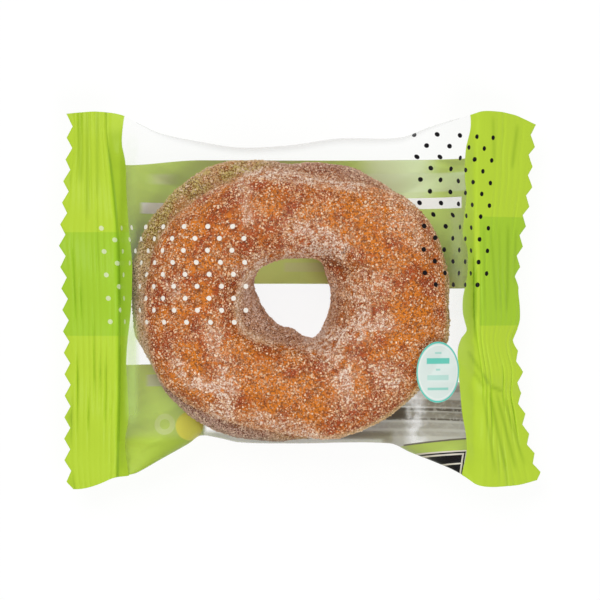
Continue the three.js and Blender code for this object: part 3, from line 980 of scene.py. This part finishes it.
# %% Dots of the front
# Slack and pull of the film beside a seal shift the dots along it
left_slack = ink.times(ink.step(x_mm, -47.5, -44), 0.95)
low_pull = ink.times(past(x_mm, -48.8, 0.8), short_of(x_mm, -40, 4), ink.band(y_mm, 9, 18, 2.5), 1.7)
left_place = minus(minus(from_left, left_slack), low_pull)
too_steep = ink.times(ink.band(x_mm, -48.2, -44.7), short_of(y_mm, 8.5))
left_share = minus(minus(1.0, too_steep), ink.times(on_seal, 0.4))
right_slack = ink.times(ink.blend(ink.step(y_mm, 37, 44), 1.15, -0.7), short_of(x_mm, 48, 2.5))
right_place = minus(from_right, right_slack)
# Beyond the bend to the right seal the rows spread a little
past_bend = ink.calc("MAXIMUM", minus(x_mm, 38), 0.0)
right_row = ink.calc("ADD", y_mm, ink.times(past_bend, minus(y_mm, 3), 0.001))

lay(WHITE, 0.92, on_front, left_share, dots(left_place, y_mm, LEFT_DOTS))
lay(BLACK, 1.0, on_front, dots(right_place, right_row, RIGHT_DOTS))

# %% Label of the front
LABEL = {"centre": (37.9, -20.3), "radii": (6.0, 8.4), "rim": 0.945, "line": (0.87, 0.905)}
# Across, down, half as wide, half as high and how strong
LABEL_BARS = [
    (37.9, -15.0, 0.9, 0.25, 0.5), (37.9, -17.2, 3.2, 0.8, 0.85), (37.9, -19.6, 0.6, 0.25, 0.5),
    (37.9, -21.8, 3.0, 0.7, 0.35), (37.9, -24.9, 2.9, 0.35, 0.6),
]

in_label, label_out = ink.oval(x_mm, y_mm, LABEL["centre"], LABEL["radii"], 0.02)
lay(MINT, 0.92, on_front, in_label)
lay(TEAL, 0.95, on_front, in_label, past(label_out, LABEL["rim"], 0.02))
lay(BRIGHT, 0.7, on_front, ink.band(label_out, *LABEL["line"], 0.012))
for across, down, half_wide, half_high, strength in LABEL_BARS:
    bar_x = ink.band(x_mm, across - half_wide, across + half_wide, 0.15)
    bar_y = ink.band(y_mm, down - half_high, down + half_high, 0.15)
    lay(TEAL, strength, on_front, bar_x, bar_y)

# %% Print the layers over each other
slanting = ink.step(ink.add("ShaderNodeLayerWeight").outputs["Facing"], 0.4, 1.0)
film_colour = ink.mix(slanting, CLEAR_GREY, HAZE_GREY)
film_strength = ink.blend(slanting, CLEAR_STRENGTH, EDGE_STRENGTH)
for share, colour in layers:
    covered = ink.blend(share, film_strength, 1.0)
    film_colour = ink.mix(ink.calc("DIVIDE", share, covered), film_colour, colour)
    film_strength = covered
ink.set(Base_Color=film_colour, Alpha=film_strength, Roughness=0.36, Specular_IOR_Level=0.14)
film.data.materials.append(ink.material)
print("film finish:", len(layers), "layers,", len(ink.tree.nodes), "nodes")

# %% [markdown]
# ## The doughnut
# A ring of dough swells in hot fat, is turned once, and keeps a line where its two halves
# meet. Seen from above, the upper half sits a little to the lower right, so the lower half
# shows beyond it on the left and at the top. A torus is the start. Each of its points
# keeps its two angles, and the outline, the line between the halves, the hole and the
# tilt of the hole's wall come from curves round the ring.

# %% Curves round the ring: angle in degrees, millimetres
OUTLINE = [
    (-180, 44.1), (-168, 44.6), (-156, 43.1), (-141, 43), (-126, 42.7), (-109, 40.8), (-90, 39.2),
    (-80, 39.3), (-62, 41.4), (-47, 42.7), (-39, 43.5), (-34, 43.05), (-14, 45), (0, 44.2),
    (18, 44.6), (35, 43.4), (50, 41.8), (66, 40.6), (79, 39.3), (92, 37.8), (97, 39), (105, 40.7),
    (118, 43.1), (135, 44.2), (153, 45.3), (170, 44.8),
]
UPPER_EDGE = [
    (-180, 40.4), (-165, 40.8), (-151, 42.1), (-139, 40.9), (-124, 38.4), (-105, 36.7), (-90, 37.1),
    (-70, 40.5), (-45, 42.6), (-14, 44.9), (0, 44.1), (20, 44.4), (40, 43), (52, 39.7), (61, 37.1),
    (73, 34.7), (90, 35.9), (99, 36.7), (119, 36.9), (135, 38.3), (149, 39.5), (160, 39.9), (170, 39.9),
]
HOLE_CENTRE = (-2.6, 0.7)
THROAT = [
    (-173, 9.2), (-134, 8.5), (-110, 8.8), (-88, 9.4), (-75, 11.6), (-61, 13.6), (-32, 11.8), (0, 11.3),
    (29, 11.6), (51, 12.9), (84, 10.7), (119, 11.0), (142, 11.8), (165, 10.9),
]
WALL_TILT = [
    (-180, 28), (-145, 38), (-110, 30), (-65, 12), (-20, 22), (10, 22), (50, 0), (90, -20), (130, -14),
    (160, 10),
]
LIP = [(-180, 14.5), (-149, 16), (-118, 14.5), (-65, 14.8), (0, 14.6), (45, 13), (90, 11.5), (135, 12)]


def ring_curve(points):
    """A smooth closed curve round the ring, as a function of the angle in degrees."""
    turns = [(angle + turn, value) for turn in (-360, 0, 360) for angle, value in points]
    curve = through(turns)
    return lambda angle: curve((angle + 180) % 360 - 180)


outline = ring_curve(OUTLINE)
upper_edge = ring_curve(UPPER_EDGE)
throat = ring_curve(THROAT)
wall_tilt = ring_curve(WALL_TILT)
lip = ring_curve(LIP)

# %% Section of the ring
LOWER_LOBE = {"widest": 14.0, "bottom": 0.8, "top": 24.5, "power": 2.2}
UPPER_LOBE = {"widest": 23.2, "bottom": 10.5, "top": 35.9, "power": 2.2}
INNER_SQUARENESS = 2.5
LEVEL_SQUARENESS = 2.15
LINE_GROOVE = {"depth": 0.9, "half_width": 1.0}
CROWN_OUT = 0.4
# How far inward on the section, -1 to 1, its centre starts to move to the hole's, and has moved
CENTRE_TURN = (-0.6, 0.9)
# Stands for the reach of a lobe that isn't there
FAR = 1000


def lobe_reach(lobe, z):
    """How far a lobe reaches out at a height, 0 to 1."""
    below = (lobe["widest"] - z) / (lobe["widest"] - lobe["bottom"])
    above = (z - lobe["widest"]) / (lobe["top"] - lobe["widest"])
    off = np.clip(np.maximum(below, above), 0, 1)
    return (1 - off ** lobe["power"]) ** (1 / lobe["power"])


def ring_points(around, section):
    """Points of the doughnut, and how far out the lower lobe stands beyond the upper one."""
    cosine, sine = np.cos(np.radians(section)), np.sin(np.radians(section))
    low, high, narrow = outline(around), upper_edge(around), throat(around)
    middle = (LOWER_LOBE["bottom"] + UPPER_LOBE["top"]) / 2
    half_height = (UPPER_LOBE["top"] - LOWER_LOBE["bottom"]) / 2
    z = middle + half_height * np.sign(sine) * np.abs(sine) ** (2 / LEVEL_SQUARENESS)
    low_crown, high_crown = (low + narrow) / 2 + CROWN_OUT, (high + narrow) / 2 + CROWN_OUT
    r_low = low_crown + (low - low_crown) * lobe_reach(LOWER_LOBE, z)
    r_high = high_crown + (high - high_crown) * lobe_reach(UPPER_LOBE, z)
    r_low = np.where(z > LOWER_LOBE["top"], -FAR, r_low)
    r_high = np.where(z < UPPER_LOBE["bottom"], -FAR, r_high)
    ahead = r_low - r_high
    r_outer = np.maximum(r_low, r_high) - LINE_GROOVE["depth"] * bump(ahead, 0, LINE_GROOVE["half_width"])
    crown = low_crown + (high_crown - low_crown) * ease(sine, -1, 1)
    turned = section - wall_tilt(around) * cosine**2
    inward = np.abs(np.cos(np.radians(turned))) ** (2 / INNER_SQUARENESS)
    r_inner = crown - (crown - narrow) * inward
    outside = cosine > 0
    r = np.where(outside, r_outer, r_inner)
    inside_share = ease(-cosine, *CENTRE_TURN)
    x = RING_CENTRE[0] + (HOLE_CENTRE[0] - RING_CENTRE[0]) * inside_share + r * np.cos(np.radians(around))
    y = RING_CENTRE[1] + (HOLE_CENTRE[1] - RING_CENTRE[1]) * inside_share + r * np.sin(np.radians(around))
    return np.stack([x, y, z], axis=-1), np.where(outside, ahead, FAR)


# %% Dough ring
RING_STEPS = 256
SECTION_STEPS = 256
START_RADII = (27, 17)

bpy.ops.object.select_all(action="DESELECT")
bpy.ops.mesh.primitive_torus_add(
    major_segments=RING_STEPS, minor_segments=SECTION_STEPS,
    major_radius=START_RADII[0] * MM, minor_radius=START_RADII[1] * MM,
)
dough = bpy.context.object
dough.name = "dough_ring"
torus = coordinates(dough)
around = np.degrees(np.arctan2(torus[:, 1], torus[:, 0]))
section = np.degrees(np.arctan2(torus[:, 2], np.hypot(torus[:, 0], torus[:, 1]) - START_RADII[0]))
section = np.where(section < -90, section + 360, section)
ring, ahead = ring_points(around, section)

# %% [markdown]
# ## Dents of this ring
# The upper half has a few dents of its own: a deep one beside the hole, a small nick in
# it, and a shallow fold across the top.

# %% Dents and creases of this ring
# From x, y, to x, y, half width, depth and how much painted shade darkens it, on the upper half
DENTS = [
    (5.5, 11.0, 17.5, 7.2, 1.8, 1.5, 0.35), (8.0, 11.6, 13.0, 6.4, 1.2, 0.9, 0.35),
    (11.6, 12.3, 13.2, 14.0, 0.45, 1.2, 1.0),
    (-8, 38, -3, 33, 3, 1.2, 0), (-15.5, 34.8, 15, 31.2, 1.1, 0.8, 0.1),
]

on_upper_half = ring[:, 2] > UPPER_LOBE["widest"]
dented = np.zeros(len(ring))
for *line, half_width, depth, dark in DENTS:
    in_dent = np.where(on_upper_half, bump(off_line(ring[:, 0], ring[:, 1], *line)[0], 0, half_width), 0)
    ring[:, 2] -= depth * in_dent
    # Painted shade in the dents
    dented += dark * in_dent
place_points(dough, ring)

# %% [markdown]
# ## Lumps and crust
# Fried crust is uneven at every size: slow swellings, lumps a few millimetres wide and a
# fine grain. Displace modifiers with cloud textures give all three, and are applied, so
# that the surface is real and the sugar can lie on it.

# %% Relief of the crust
# Name, size and height of each kind of relief
RELIEF = [("swellings", 15, 1.2), ("lumps", 4.2, 0.7), ("crust", 1.2, 0.34)]

for relief_name, size, height in RELIEF:
    cloud = bpy.data.textures.new(relief_name, "CLOUDS")
    cloud.noise_scale = size * MM
    cloud.noise_depth = 2
    shaper = dough.modifiers.new(relief_name, "DISPLACE")
    shaper.texture = cloud
    shaper.texture_coords = "LOCAL"
    shaper.strength = height * MM
    shaper.mid_level = 0.5
bpy.context.view_layer.objects.active = dough
for relief_name, _, _ in RELIEF:
    bpy.ops.object.modifier_apply(modifier=relief_name)
ring = coordinates(dough)

# %% Press the dough against its film where it would come through
LEAST_ROOM = 0.4


def room_at(point):
    """A point in metres, the film's normal beside it, and its distance inside the film in millimetres."""
    here = Vector(point) * MM
    near, normal, _, _ = film_tree.find_nearest(here)
    return here, normal, (near - here).dot(normal) / MM


for _ in range(2):
    pressed_points = 0
    for k, point in enumerate(ring):
        here, normal, room = room_at(point)
        if room < LEAST_ROOM:
            ring[k] = (here - normal * (LEAST_ROOM - room) * MM) / MM
            pressed_points += 1
    print("points pressed in by the film:", pressed_points)
place_points(dough, ring)
edit_all()
bpy.ops.mesh.normals_make_consistent(inside=False)
leave_edit()
bpy.ops.object.shade_smooth()
low_corner, high_corner = ring.min(axis=0).round(2), ring.max(axis=0).round(2)
print("dough:", triangles(dough), "triangles, from", low_corner, "to", high_corner)

# %% [markdown]
# ## Where the sugar clings
# Sugar lies thick in the line between the halves, on the wall of the hole and low on the
# sides, and thin in patches on the crown where the crust is smooth. One number for each
# point of the dough says how much lies there. It sets the sugar, and it pales the crust
# a little under it. Further numbers mark the pale line and the golden crown of the crust,
# and where light and shade are painted into the colour: painted shade on the wall of the
# hole and the flanks, painted light on the left flank, green painted light and lilac
# painted shade on the sides.


# %% Sugar drifts and crust spots
# From x, y, to x, y, half width and strength of the drifts where sugar lies thick
SUGAR_DRIFTS = [
    (-17.3, 8, -11, -7.5, 1.2, 0.8), (-24.4, -8, -23, -14, 2.2, 0.6), (3.6, -12.4, 15, -8.9, 2.4, 0.95),
    (15, -8.9, 23, -6.9, 2.2, 0.9), (17, -9, 18.5, -1, 2.4, 0.5), (18, 5.5, 22, 4, 2.8, 0.5),
    (8, 15, 11.5, 13.6, 3, 0.9), (-1, 18.6, 5, 17.2, 3.4, 0.7), (-16, 35, 16, 31, 1.5, 1.0),
    (-15.4, 32, -14, 22, 2, 0.6), (-28, -23.5, -18.5, -24.8, 1.8, 1.1), (-21, -18.5, -20.2, -27, 2.0, 1.0),
    (-24, -31, -20, -32, 1.8, 0.9), (-12, -33, 3.5, -37, 2, 0.6), (6, -14, 12, -19, 3.6, 0.6),
    (12, -23, 13, -27, 2.6, 0.8), (22, -20, 26, -23, 2.6, 0.7), (-35.5, 4.5, -34, 1, 1.8, 0.5),
    (26, 22, 33, 16, 3.5, 0.35), (-13.5, 8, -10, 10.5, 2.2, 0.6), (-34, -18, -30, -23, 1.6, 0.8),
    (14, 3, 16, -4, 2.4, 0.35), (24, 30, 30, 26, 3, 0.35), (-4, 12.8, 6, 13.2, 1.5, 0.5),
]
# x, y, half width and strength: above 0 the crust is golden, below 0 it is deep brown
CRUST_SPOTS = [
    (-8, -25, 7, 0.4), (5, -27, 6, 0.35), (33, -6, 6, 0.45), (24, 21, 8, 0.35), (36, 12, 5, 0.35),
    (-26, 20, 7, 0.2), (-28, 2, 6, 0.25), (-17, -22, 5, 0.2), (14, 24, 6, 0.3),
    (-19, 28, 3, -0.5), (-40, 0, 3.5, -0.55), (-37, -15, 3, -0.55), (23, 0, 3.5, -0.4), (24, -29, 6, -0.4),
    (4, 14, 5, -0.4), (10, -33, 5, -0.4), (-15, 14, 4, -0.3), (38, 2, 3, -0.2),
]
# Patches of sugar at three sizes: share, size and seed
SUGAR_PATCHES = [(0.4, 7, 1), (0.3, 2.4, 2), (0.3, 1.1, 3)]
# Size and seed of other patches
DRIFT_PATCHES = (1.6, 6)
GOLD_PATCHES = (5, 4)
GREEN_PATCHES = (3, 8)
SEED_SHIFT = (17.3, 5.1, 9.7)
# Sides of the ring: the angle of the middle, and the cosines where a side starts and is full
SIDES = {
    "lip": (190, 0.35, 0.8), "bare_wall": (0, 0.6, 0.95), "lilac": (218, 0.55, 0.85),
    "upper_lilac": (78, 0.88, 0.97), "flank_light": (184, 0.87, 0.97), "edge_line": (200, 0.3, 0.7),
    "pale": (-27, 0.5, 0.85), "green": (140, 0.55, 0.9), "low_green": (-95, 0.85, 0.97),
}


def patchiness(size, seed):
    """Smooth random numbers, about 0 to 1, in patches of a size."""
    shift = Vector([seed * length for length in SEED_SHIFT])
    return np.array([0.5 + 0.5 * noise.noise(Vector(p) / size + shift) for p in ring])


def facing(side, angle=around):
    """1 on a side of the ring, and 0 away from it."""
    middle, start, end = SIDES[side]
    return ease(np.cos(np.radians(angle - middle)), start, end)


x, y, z = ring.T
from_hole = np.hypot(x - HOLE_CENTRE[0], y - HOLE_CENTRE[1])
hole_angle = np.degrees(np.arctan2(y - HOLE_CENTRE[1], x - HOLE_CENTRE[0]))
from_lip = from_hole - lip(hole_angle)
silhouette = np.maximum(outline(around), upper_edge(around))
from_rim = silhouette - np.hypot(x - RING_CENTRE[0], y - RING_CENTRE[1])
outer = ahead < FAR
flank = ease(ahead, 0.2, 1.5) * outer

drifts = sum(strength * bump(off_line(x, y, *line)[0], 0, size) for *line, size, strength in SUGAR_DRIFTS)
drifts = np.where(z > LOWER_LOBE["widest"], drifts, 0)
drifts = np.clip(drifts * (1.9 * ease(patchiness(*DRIFT_PATCHES), 0.22, 0.68) - 0.1), 0, 1)
spots = sum(
    strength * bump(np.hypot(x - at_x, y - at_y), 0, size) for at_x, at_y, size, strength in CRUST_SPOTS
)
patches = sum(patchiness(size, seed) * share for share, size, seed in SUGAR_PATCHES)
lip_line = bump(from_lip, 0, 0.8) * facing("lip", hole_angle) * on_upper_half
edge_line = bump(ahead, -1.4, 1.3) * outer * facing("edge_line")
golden = np.clip(0.5 + 1.3 * (patchiness(*GOLD_PATCHES) - 0.5) + spots, 0, 1)
golden = np.clip(golden - 0.6 * edge_line, 0, 1)
dented = np.clip(dented, 0, 1)
on_wall = 1 - ease(from_lip, -1.6, 0.2)
# Painted shade: a dark lilac tone on the flanks at the lower left, and near the rim at the top
lilac = flank * facing("lilac")

# %% Sugar load
SUGAR_BASE = 0.17
SUGAR_LEAST = 0.05
# How much of the full load each cause adds or takes away
SUGAR_FROM = {
    "patches": 0.38, "golden": -0.1, "drifts": 0.75, "line": 0.25, "wall": 0.3, "flank": 0.22,
    "dents": -0.5, "lip": 0.6, "lilac": 0.15, "edge": -0.3,
}
# The shares that are lost low on the ring and on its pale rim
SUGAR_LOST = {"low": 0.6, "rim": 0.4}

causes = [
    ("patches", ease(patches + 0.1 * drifts, 0.42, 0.66)), ("golden", golden - 0.5), ("drifts", drifts),
    ("line", bump(ahead, 0.6, 0.9)), ("wall", on_wall), ("flank", flank), ("dents", dented),
    ("lip", lip_line), ("lilac", lilac), ("edge", edge_line),
]
sugar_load = SUGAR_BASE
for cause, strength in causes:
    sugar_load = sugar_load + SUGAR_FROM[cause] * strength
sugar_load = np.clip(sugar_load, SUGAR_LEAST, 1) * (1 - SUGAR_LOST["low"] * ease(-z, -9, -4))
rim_band = (1 - ease(from_rim, 0.5, 1.7)) * outer * ease(z, 8, 12)
sugar_load = sugar_load - SUGAR_LOST["rim"] * facing("pale") * rim_band * sugar_load
print("mean sugar load:", sugar_load.mean().round(3))

# %% Marks of painted light and shade, and of the crust
pale_line = bump(ahead, -0.3, 1.0) * (0.25 + 0.75 * facing("pale"))
pale_line = np.maximum(pale_line, facing("pale") * 0.9 * rim_band)
pale_line = np.maximum(pale_line, 0.9 * facing("green") * bump(ahead, 0, 0.8))
pale_line = np.maximum(pale_line, 0.6 * lip_line)
# Painted light: green light from the printed film on the flanks at the upper left and, weaker, at the
# bottom
green_light = flank * np.maximum(0.95 * facing("green"), 0.35 * facing("low_green"))
green_light = green_light * (0.45 + 0.8 * ease(patchiness(*GREEN_PATCHES), 0.35, 0.6))
# Painted shade: a greyer, darker tone on the wall of the hole, less on its right side, and on the flanks
# except at the lower right
wall = on_wall * (1 - 0.4 * facing("bare_wall"))
# Painted light: the left flank, which lies dim under the steep film, is paled
store_marks(dough, {
    "sugar_load": sugar_load, "golden": golden, "dented": dented, "pale_line": pale_line,
    "green_light": green_light, "wall": np.maximum(wall, 0.4 * flank * (1 - facing("pale"))),
    "lilac": np.maximum(lilac, 0.55 * (1 - ease(from_rim, 2, 5)) * outer * facing("upper_lilac")),
    "drift": np.maximum(drifts, 0.8 * lip_line), "flank_light": flank * facing("flank_light"),
})

# %% Dough finish
CRUST_DEEP = srgb(176, 70, 2)
CRUST_GOLD = srgb(226, 128, 12)
CRUST_DARK = srgb(92, 34, 2)
CRUST_PALE = srgb(236, 196, 130)
# Painted shade: the greyer tone of the hole's wall and of the flanks
CRUST_WALL_SHADE = srgb(150, 96, 60)
# Painted light and shade: tones for the green light and the lilac shade on the flanks
CRUST_GREEN_LIGHT = srgb(140, 116, 34)
CRUST_LILAC_SHADE = srgb(112, 74, 62)
SUGAR_DUST = srgb(226, 162, 108)
SUGAR_FILM = srgb(224, 176, 148)

crust = Finish("fried_dough")
mark = crust.attribute
place = crust.place()
wander = crust.calc("ADD", crust.noise(place, 380, 4), -0.5)
gold = crust.step(crust.calc("ADD", mark("golden"), wander), 0.15, 0.85)
mottle = crust.step(crust.noise(place, 520, 3), 0.48, 0.7)
# Painted shade: fine dark specks for the shade between the grains of the crust
grain_shade = crust.step(crust.noise(place, 1500, 2, 0.6), 0.5, 0.58)
dust = crust.step(crust.noise(place, 2700, 2, 0.6), 0.54, 0.6)
dustiness = crust.calc("MULTIPLY_ADD", mark("sugar_load"), 0.4, 0.02)
# Painted shade among the tints: the wall's tone, the dark grain specks and the dark dents; painted light
# and shade: the olive and lilac tones of the flanks and the paled left flank. The mottle, the pale line,
# the dust and the drifts are the crust's own.
colour = crust.tinted(crust.mix(gold, CRUST_DEEP, CRUST_GOLD), [
    (mottle, 0.35, CRUST_DARK), (mark("wall"), 0.8, CRUST_WALL_SHADE), (mark("green_light"), 0.75, CRUST_GREEN_LIGHT),
    (mark("lilac"), 0.8, CRUST_LILAC_SHADE), (mark("flank_light"), 0.6, CRUST_PALE),
    (mark("pale_line"), 1.0, CRUST_PALE), (grain_shade, 0.7, CRUST_DARK), (dust, dustiness, SUGAR_DUST),
    (mark("drift"), 0.55, SUGAR_FILM), (mark("dented"), 0.8, CRUST_DARK),
])
grain = crust.relief(crust.noise(place, 1300, 3), 0.0003)
crust.set(Base_Color=colour, Roughness=0.6, Specular_IOR_Level=0.3, Normal=grain)
dough.data.materials.append(crust.material)

# %% [markdown]
# ## Sugar
# Real sugar is tens of thousands of small crystals. A few kinds are enough: blocks, and
# prisms and splinters that are pointed or cut off. Each crystal is modelled once with a
# few faces. Geometry Nodes scatters it over the dough by the sugar load, turns and sizes
# it at random from a fixed seed, and makes the copies real.


# %% One crystal of each kind
CRYSTAL_RADIUS = 0.6
CRYSTAL_SQUASH = (1, 0.8, 0.72)
CRYSTAL_TAPER = (0.82, 0.9, 1)
TAPER_FROM = 0.1


def crystal(name, sides, narrow, tall):
    """A crystal about one unit across: a block, or a cone with a few sides, pointed or cut off."""
    bpy.ops.object.select_all(action="DESELECT")
    if sides:
        bpy.ops.mesh.primitive_cone_add(vertices=sides, radius1=CRYSTAL_RADIUS, radius2=narrow, depth=tall)
    else:
        bpy.ops.mesh.primitive_cube_add(size=tall)
    piece = bpy.context.object
    piece.name = name
    edit_all()
    bpy.ops.transform.resize(value=CRYSTAL_SQUASH)
    bpy.ops.mesh.select_all(action="DESELECT")
    leave_edit()
    for vertex in piece.data.vertices:
        vertex.select = vertex.co.z > TAPER_FROM
    bpy.ops.object.mode_set(mode="EDIT")
    bpy.ops.transform.resize(value=CRYSTAL_TAPER)
    leave_edit()
    return piece


# %% Sugar finish
sugar = Finish("sugar")
mark = sugar.attribute
tone, drift = mark("tone"), mark("drift")
dull = sugar.mix(sugar.step(tone, 0.0, 0.62), srgb(176, 104, 46), srgb(242, 192, 142))
# Painted shade on the wall and flanks, green painted light and lilac painted shade on the sides, and
# painted light on the left flank; the pale line is the dough's own
shaded = sugar.tinted(dull, [
    (mark("wall"), 0.55, srgb(198, 152, 124)), (mark("green_light"), 0.7, srgb(222, 206, 124)),
    (mark("lilac"), 0.7, srgb(200, 168, 158)), (mark("pale_line"), 0.7, srgb(236, 214, 166)),
    (mark("flank_light"), 0.7, srgb(255, 226, 190)),
])
white = sugar.mix(drift, srgb(255, 228, 194), srgb(255, 236, 218))
# Painted shade: the brightest crystals are dimmer on the wall of the hole
bright = sugar.mix(mark("wall"), white, srgb(244, 218, 200))
shine = sugar.step(sugar.calc("MULTIPLY_ADD", drift, 0.4, tone), 0.62, 0.95)
sugar.set(Base_Color=sugar.mix(shine, shaded, bright), Roughness=0.3)


# %% Scatter the crystals
def scatter(name, shape, per_square_mm, smallest, largest, seed):
    """A piece of many crystals spread over the dough."""
    bpy.ops.object.select_all(action="DESELECT")
    dough.select_set(True)
    bpy.context.view_layer.objects.active = dough
    bpy.ops.object.duplicate()
    piece = bpy.context.object
    piece.name = name
    tree = bpy.data.node_groups.new(name, "GeometryNodeTree")
    for way in ("INPUT", "OUTPUT"):
        tree.interface.new_socket("Geometry", in_out=way, socket_type="NodeSocketGeometry")

    def add(kind, inputs=(), **settings):
        return add_node(tree, kind, inputs, **settings)

    def between(low, high, seed):
        """A number for each crystal, drawn between two others."""
        inputs = [(2, low), (3, high), ("Seed", seed)]
        return add("FunctionNodeRandomValue", inputs, data_type="FLOAT").outputs[1]

    surface = add("NodeGroupInput").outputs[0]
    load = add("GeometryNodeInputNamedAttribute", [("Name", "sugar_load")], data_type="FLOAT").outputs[0]
    full_load = per_square_mm / MM**2
    density = add("ShaderNodeMath", [(0, load), (1, full_load)], operation="MULTIPLY").outputs[0]
    points = add(
        "GeometryNodeDistributePointsOnFaces", [("Mesh", surface), ("Density", density), ("Seed", seed)]
    ).outputs["Points"]
    full_turns = [("Max", (math.tau, math.tau, math.tau)), ("Seed", seed + 1)]
    angles = add("FunctionNodeRandomValue", full_turns, data_type="FLOAT_VECTOR").outputs[0]
    turn = add("FunctionNodeEulerToRotation", [(0, angles)]).outputs[0]
    size = between(smallest * MM, largest * MM, seed + 2)
    one = add("GeometryNodeObjectInfo", [("Object", shape)]).outputs["Geometry"]
    copies = add(
        "GeometryNodeInstanceOnPoints",
        [("Points", points), ("Instance", one), ("Rotation", turn), ("Scale", size)],
    ).outputs[0]
    toned = add(
        "GeometryNodeStoreNamedAttribute",
        [("Geometry", copies), ("Name", "tone"), ("Value", between(0.0, 1.0, seed + 3))],
        data_type="FLOAT", domain="INSTANCE",
    ).outputs[0]
    real = add("GeometryNodeRealizeInstances", [("Geometry", toned)]).outputs[0]
    add("NodeGroupOutput", [(0, real)])

    maker = piece.modifiers.new("scatter", "NODES")
    maker.node_group = tree
    bpy.ops.object.modifier_apply(modifier="scatter")
    piece.data.materials.clear()
    piece.data.materials.append(sugar.material)
    print(name, triangles(piece), "triangles")
    return piece


# Sides, radius of the cut end and height of a crystal, crystals for each square mm, sizes and seed
SUGAR_KINDS = {
    "sugar_blocks": ((0, 1, 1), 1.7, (0.38, 0.66), 11),
    "sugar_prisms": ((3, 0.45, 1), 2.6, (0.34, 0.58), 17),
    "sugar_chips": ((4, 0, 0.8), 3.4, (0.32, 0.54), 23),
    "sugar_splinters": ((3, 0, 1.1), 5.0, (0.28, 0.48), 37),
    "sugar_grit": ((3, 0, 0.7), 5.0, (0.2, 0.36), 53),
}
sugar_pieces = []
for kind_name, (form, per_square_mm, sizes, seed) in SUGAR_KINDS.items():
    shape = crystal(kind_name + "_crystal", *form)
    sugar_pieces.append(scatter(kind_name, shape, per_square_mm, *sizes, seed))
    bpy.data.objects.remove(shape)

# %% [markdown]
# ## Check that the doughnut fits in its film
# The dough has to stay inside the film. A tree of the film's faces tells, for a sample of
# the dough's points, whether they lie inside it and how close they come.

# %% Room between dough and film
SAMPLE_EVERY = 23

rooms = np.array([room_at(point)[2] for point in ring[::SAMPLE_EVERY]])
print("least room, mm:", rooms.min().round(2), "share outside:", (rooms < 0).mean().round(4))

# %% [markdown]
# ## Centre the footprint
# Everything above was drawn round the middle of the picture. The solid has its origin at
# the middle of its footprint, a little lower, so all pieces move by the same step.

# %% Move every piece
for piece in (film, dough, *sugar_pieces):
    piece.data.transform(Matrix.Translation((0, FOOTPRINT_SHIFT * MM, 0)))
print("moved", 2 + len(sugar_pieces), "pieces by", FOOTPRINT_SHIFT, "mm along Y")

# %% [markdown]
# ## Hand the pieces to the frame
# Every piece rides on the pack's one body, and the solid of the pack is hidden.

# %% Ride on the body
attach(film, "root")
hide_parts(PACK_NODE)
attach(dough, "root")
for piece in sugar_pieces:
    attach(piece, "root")
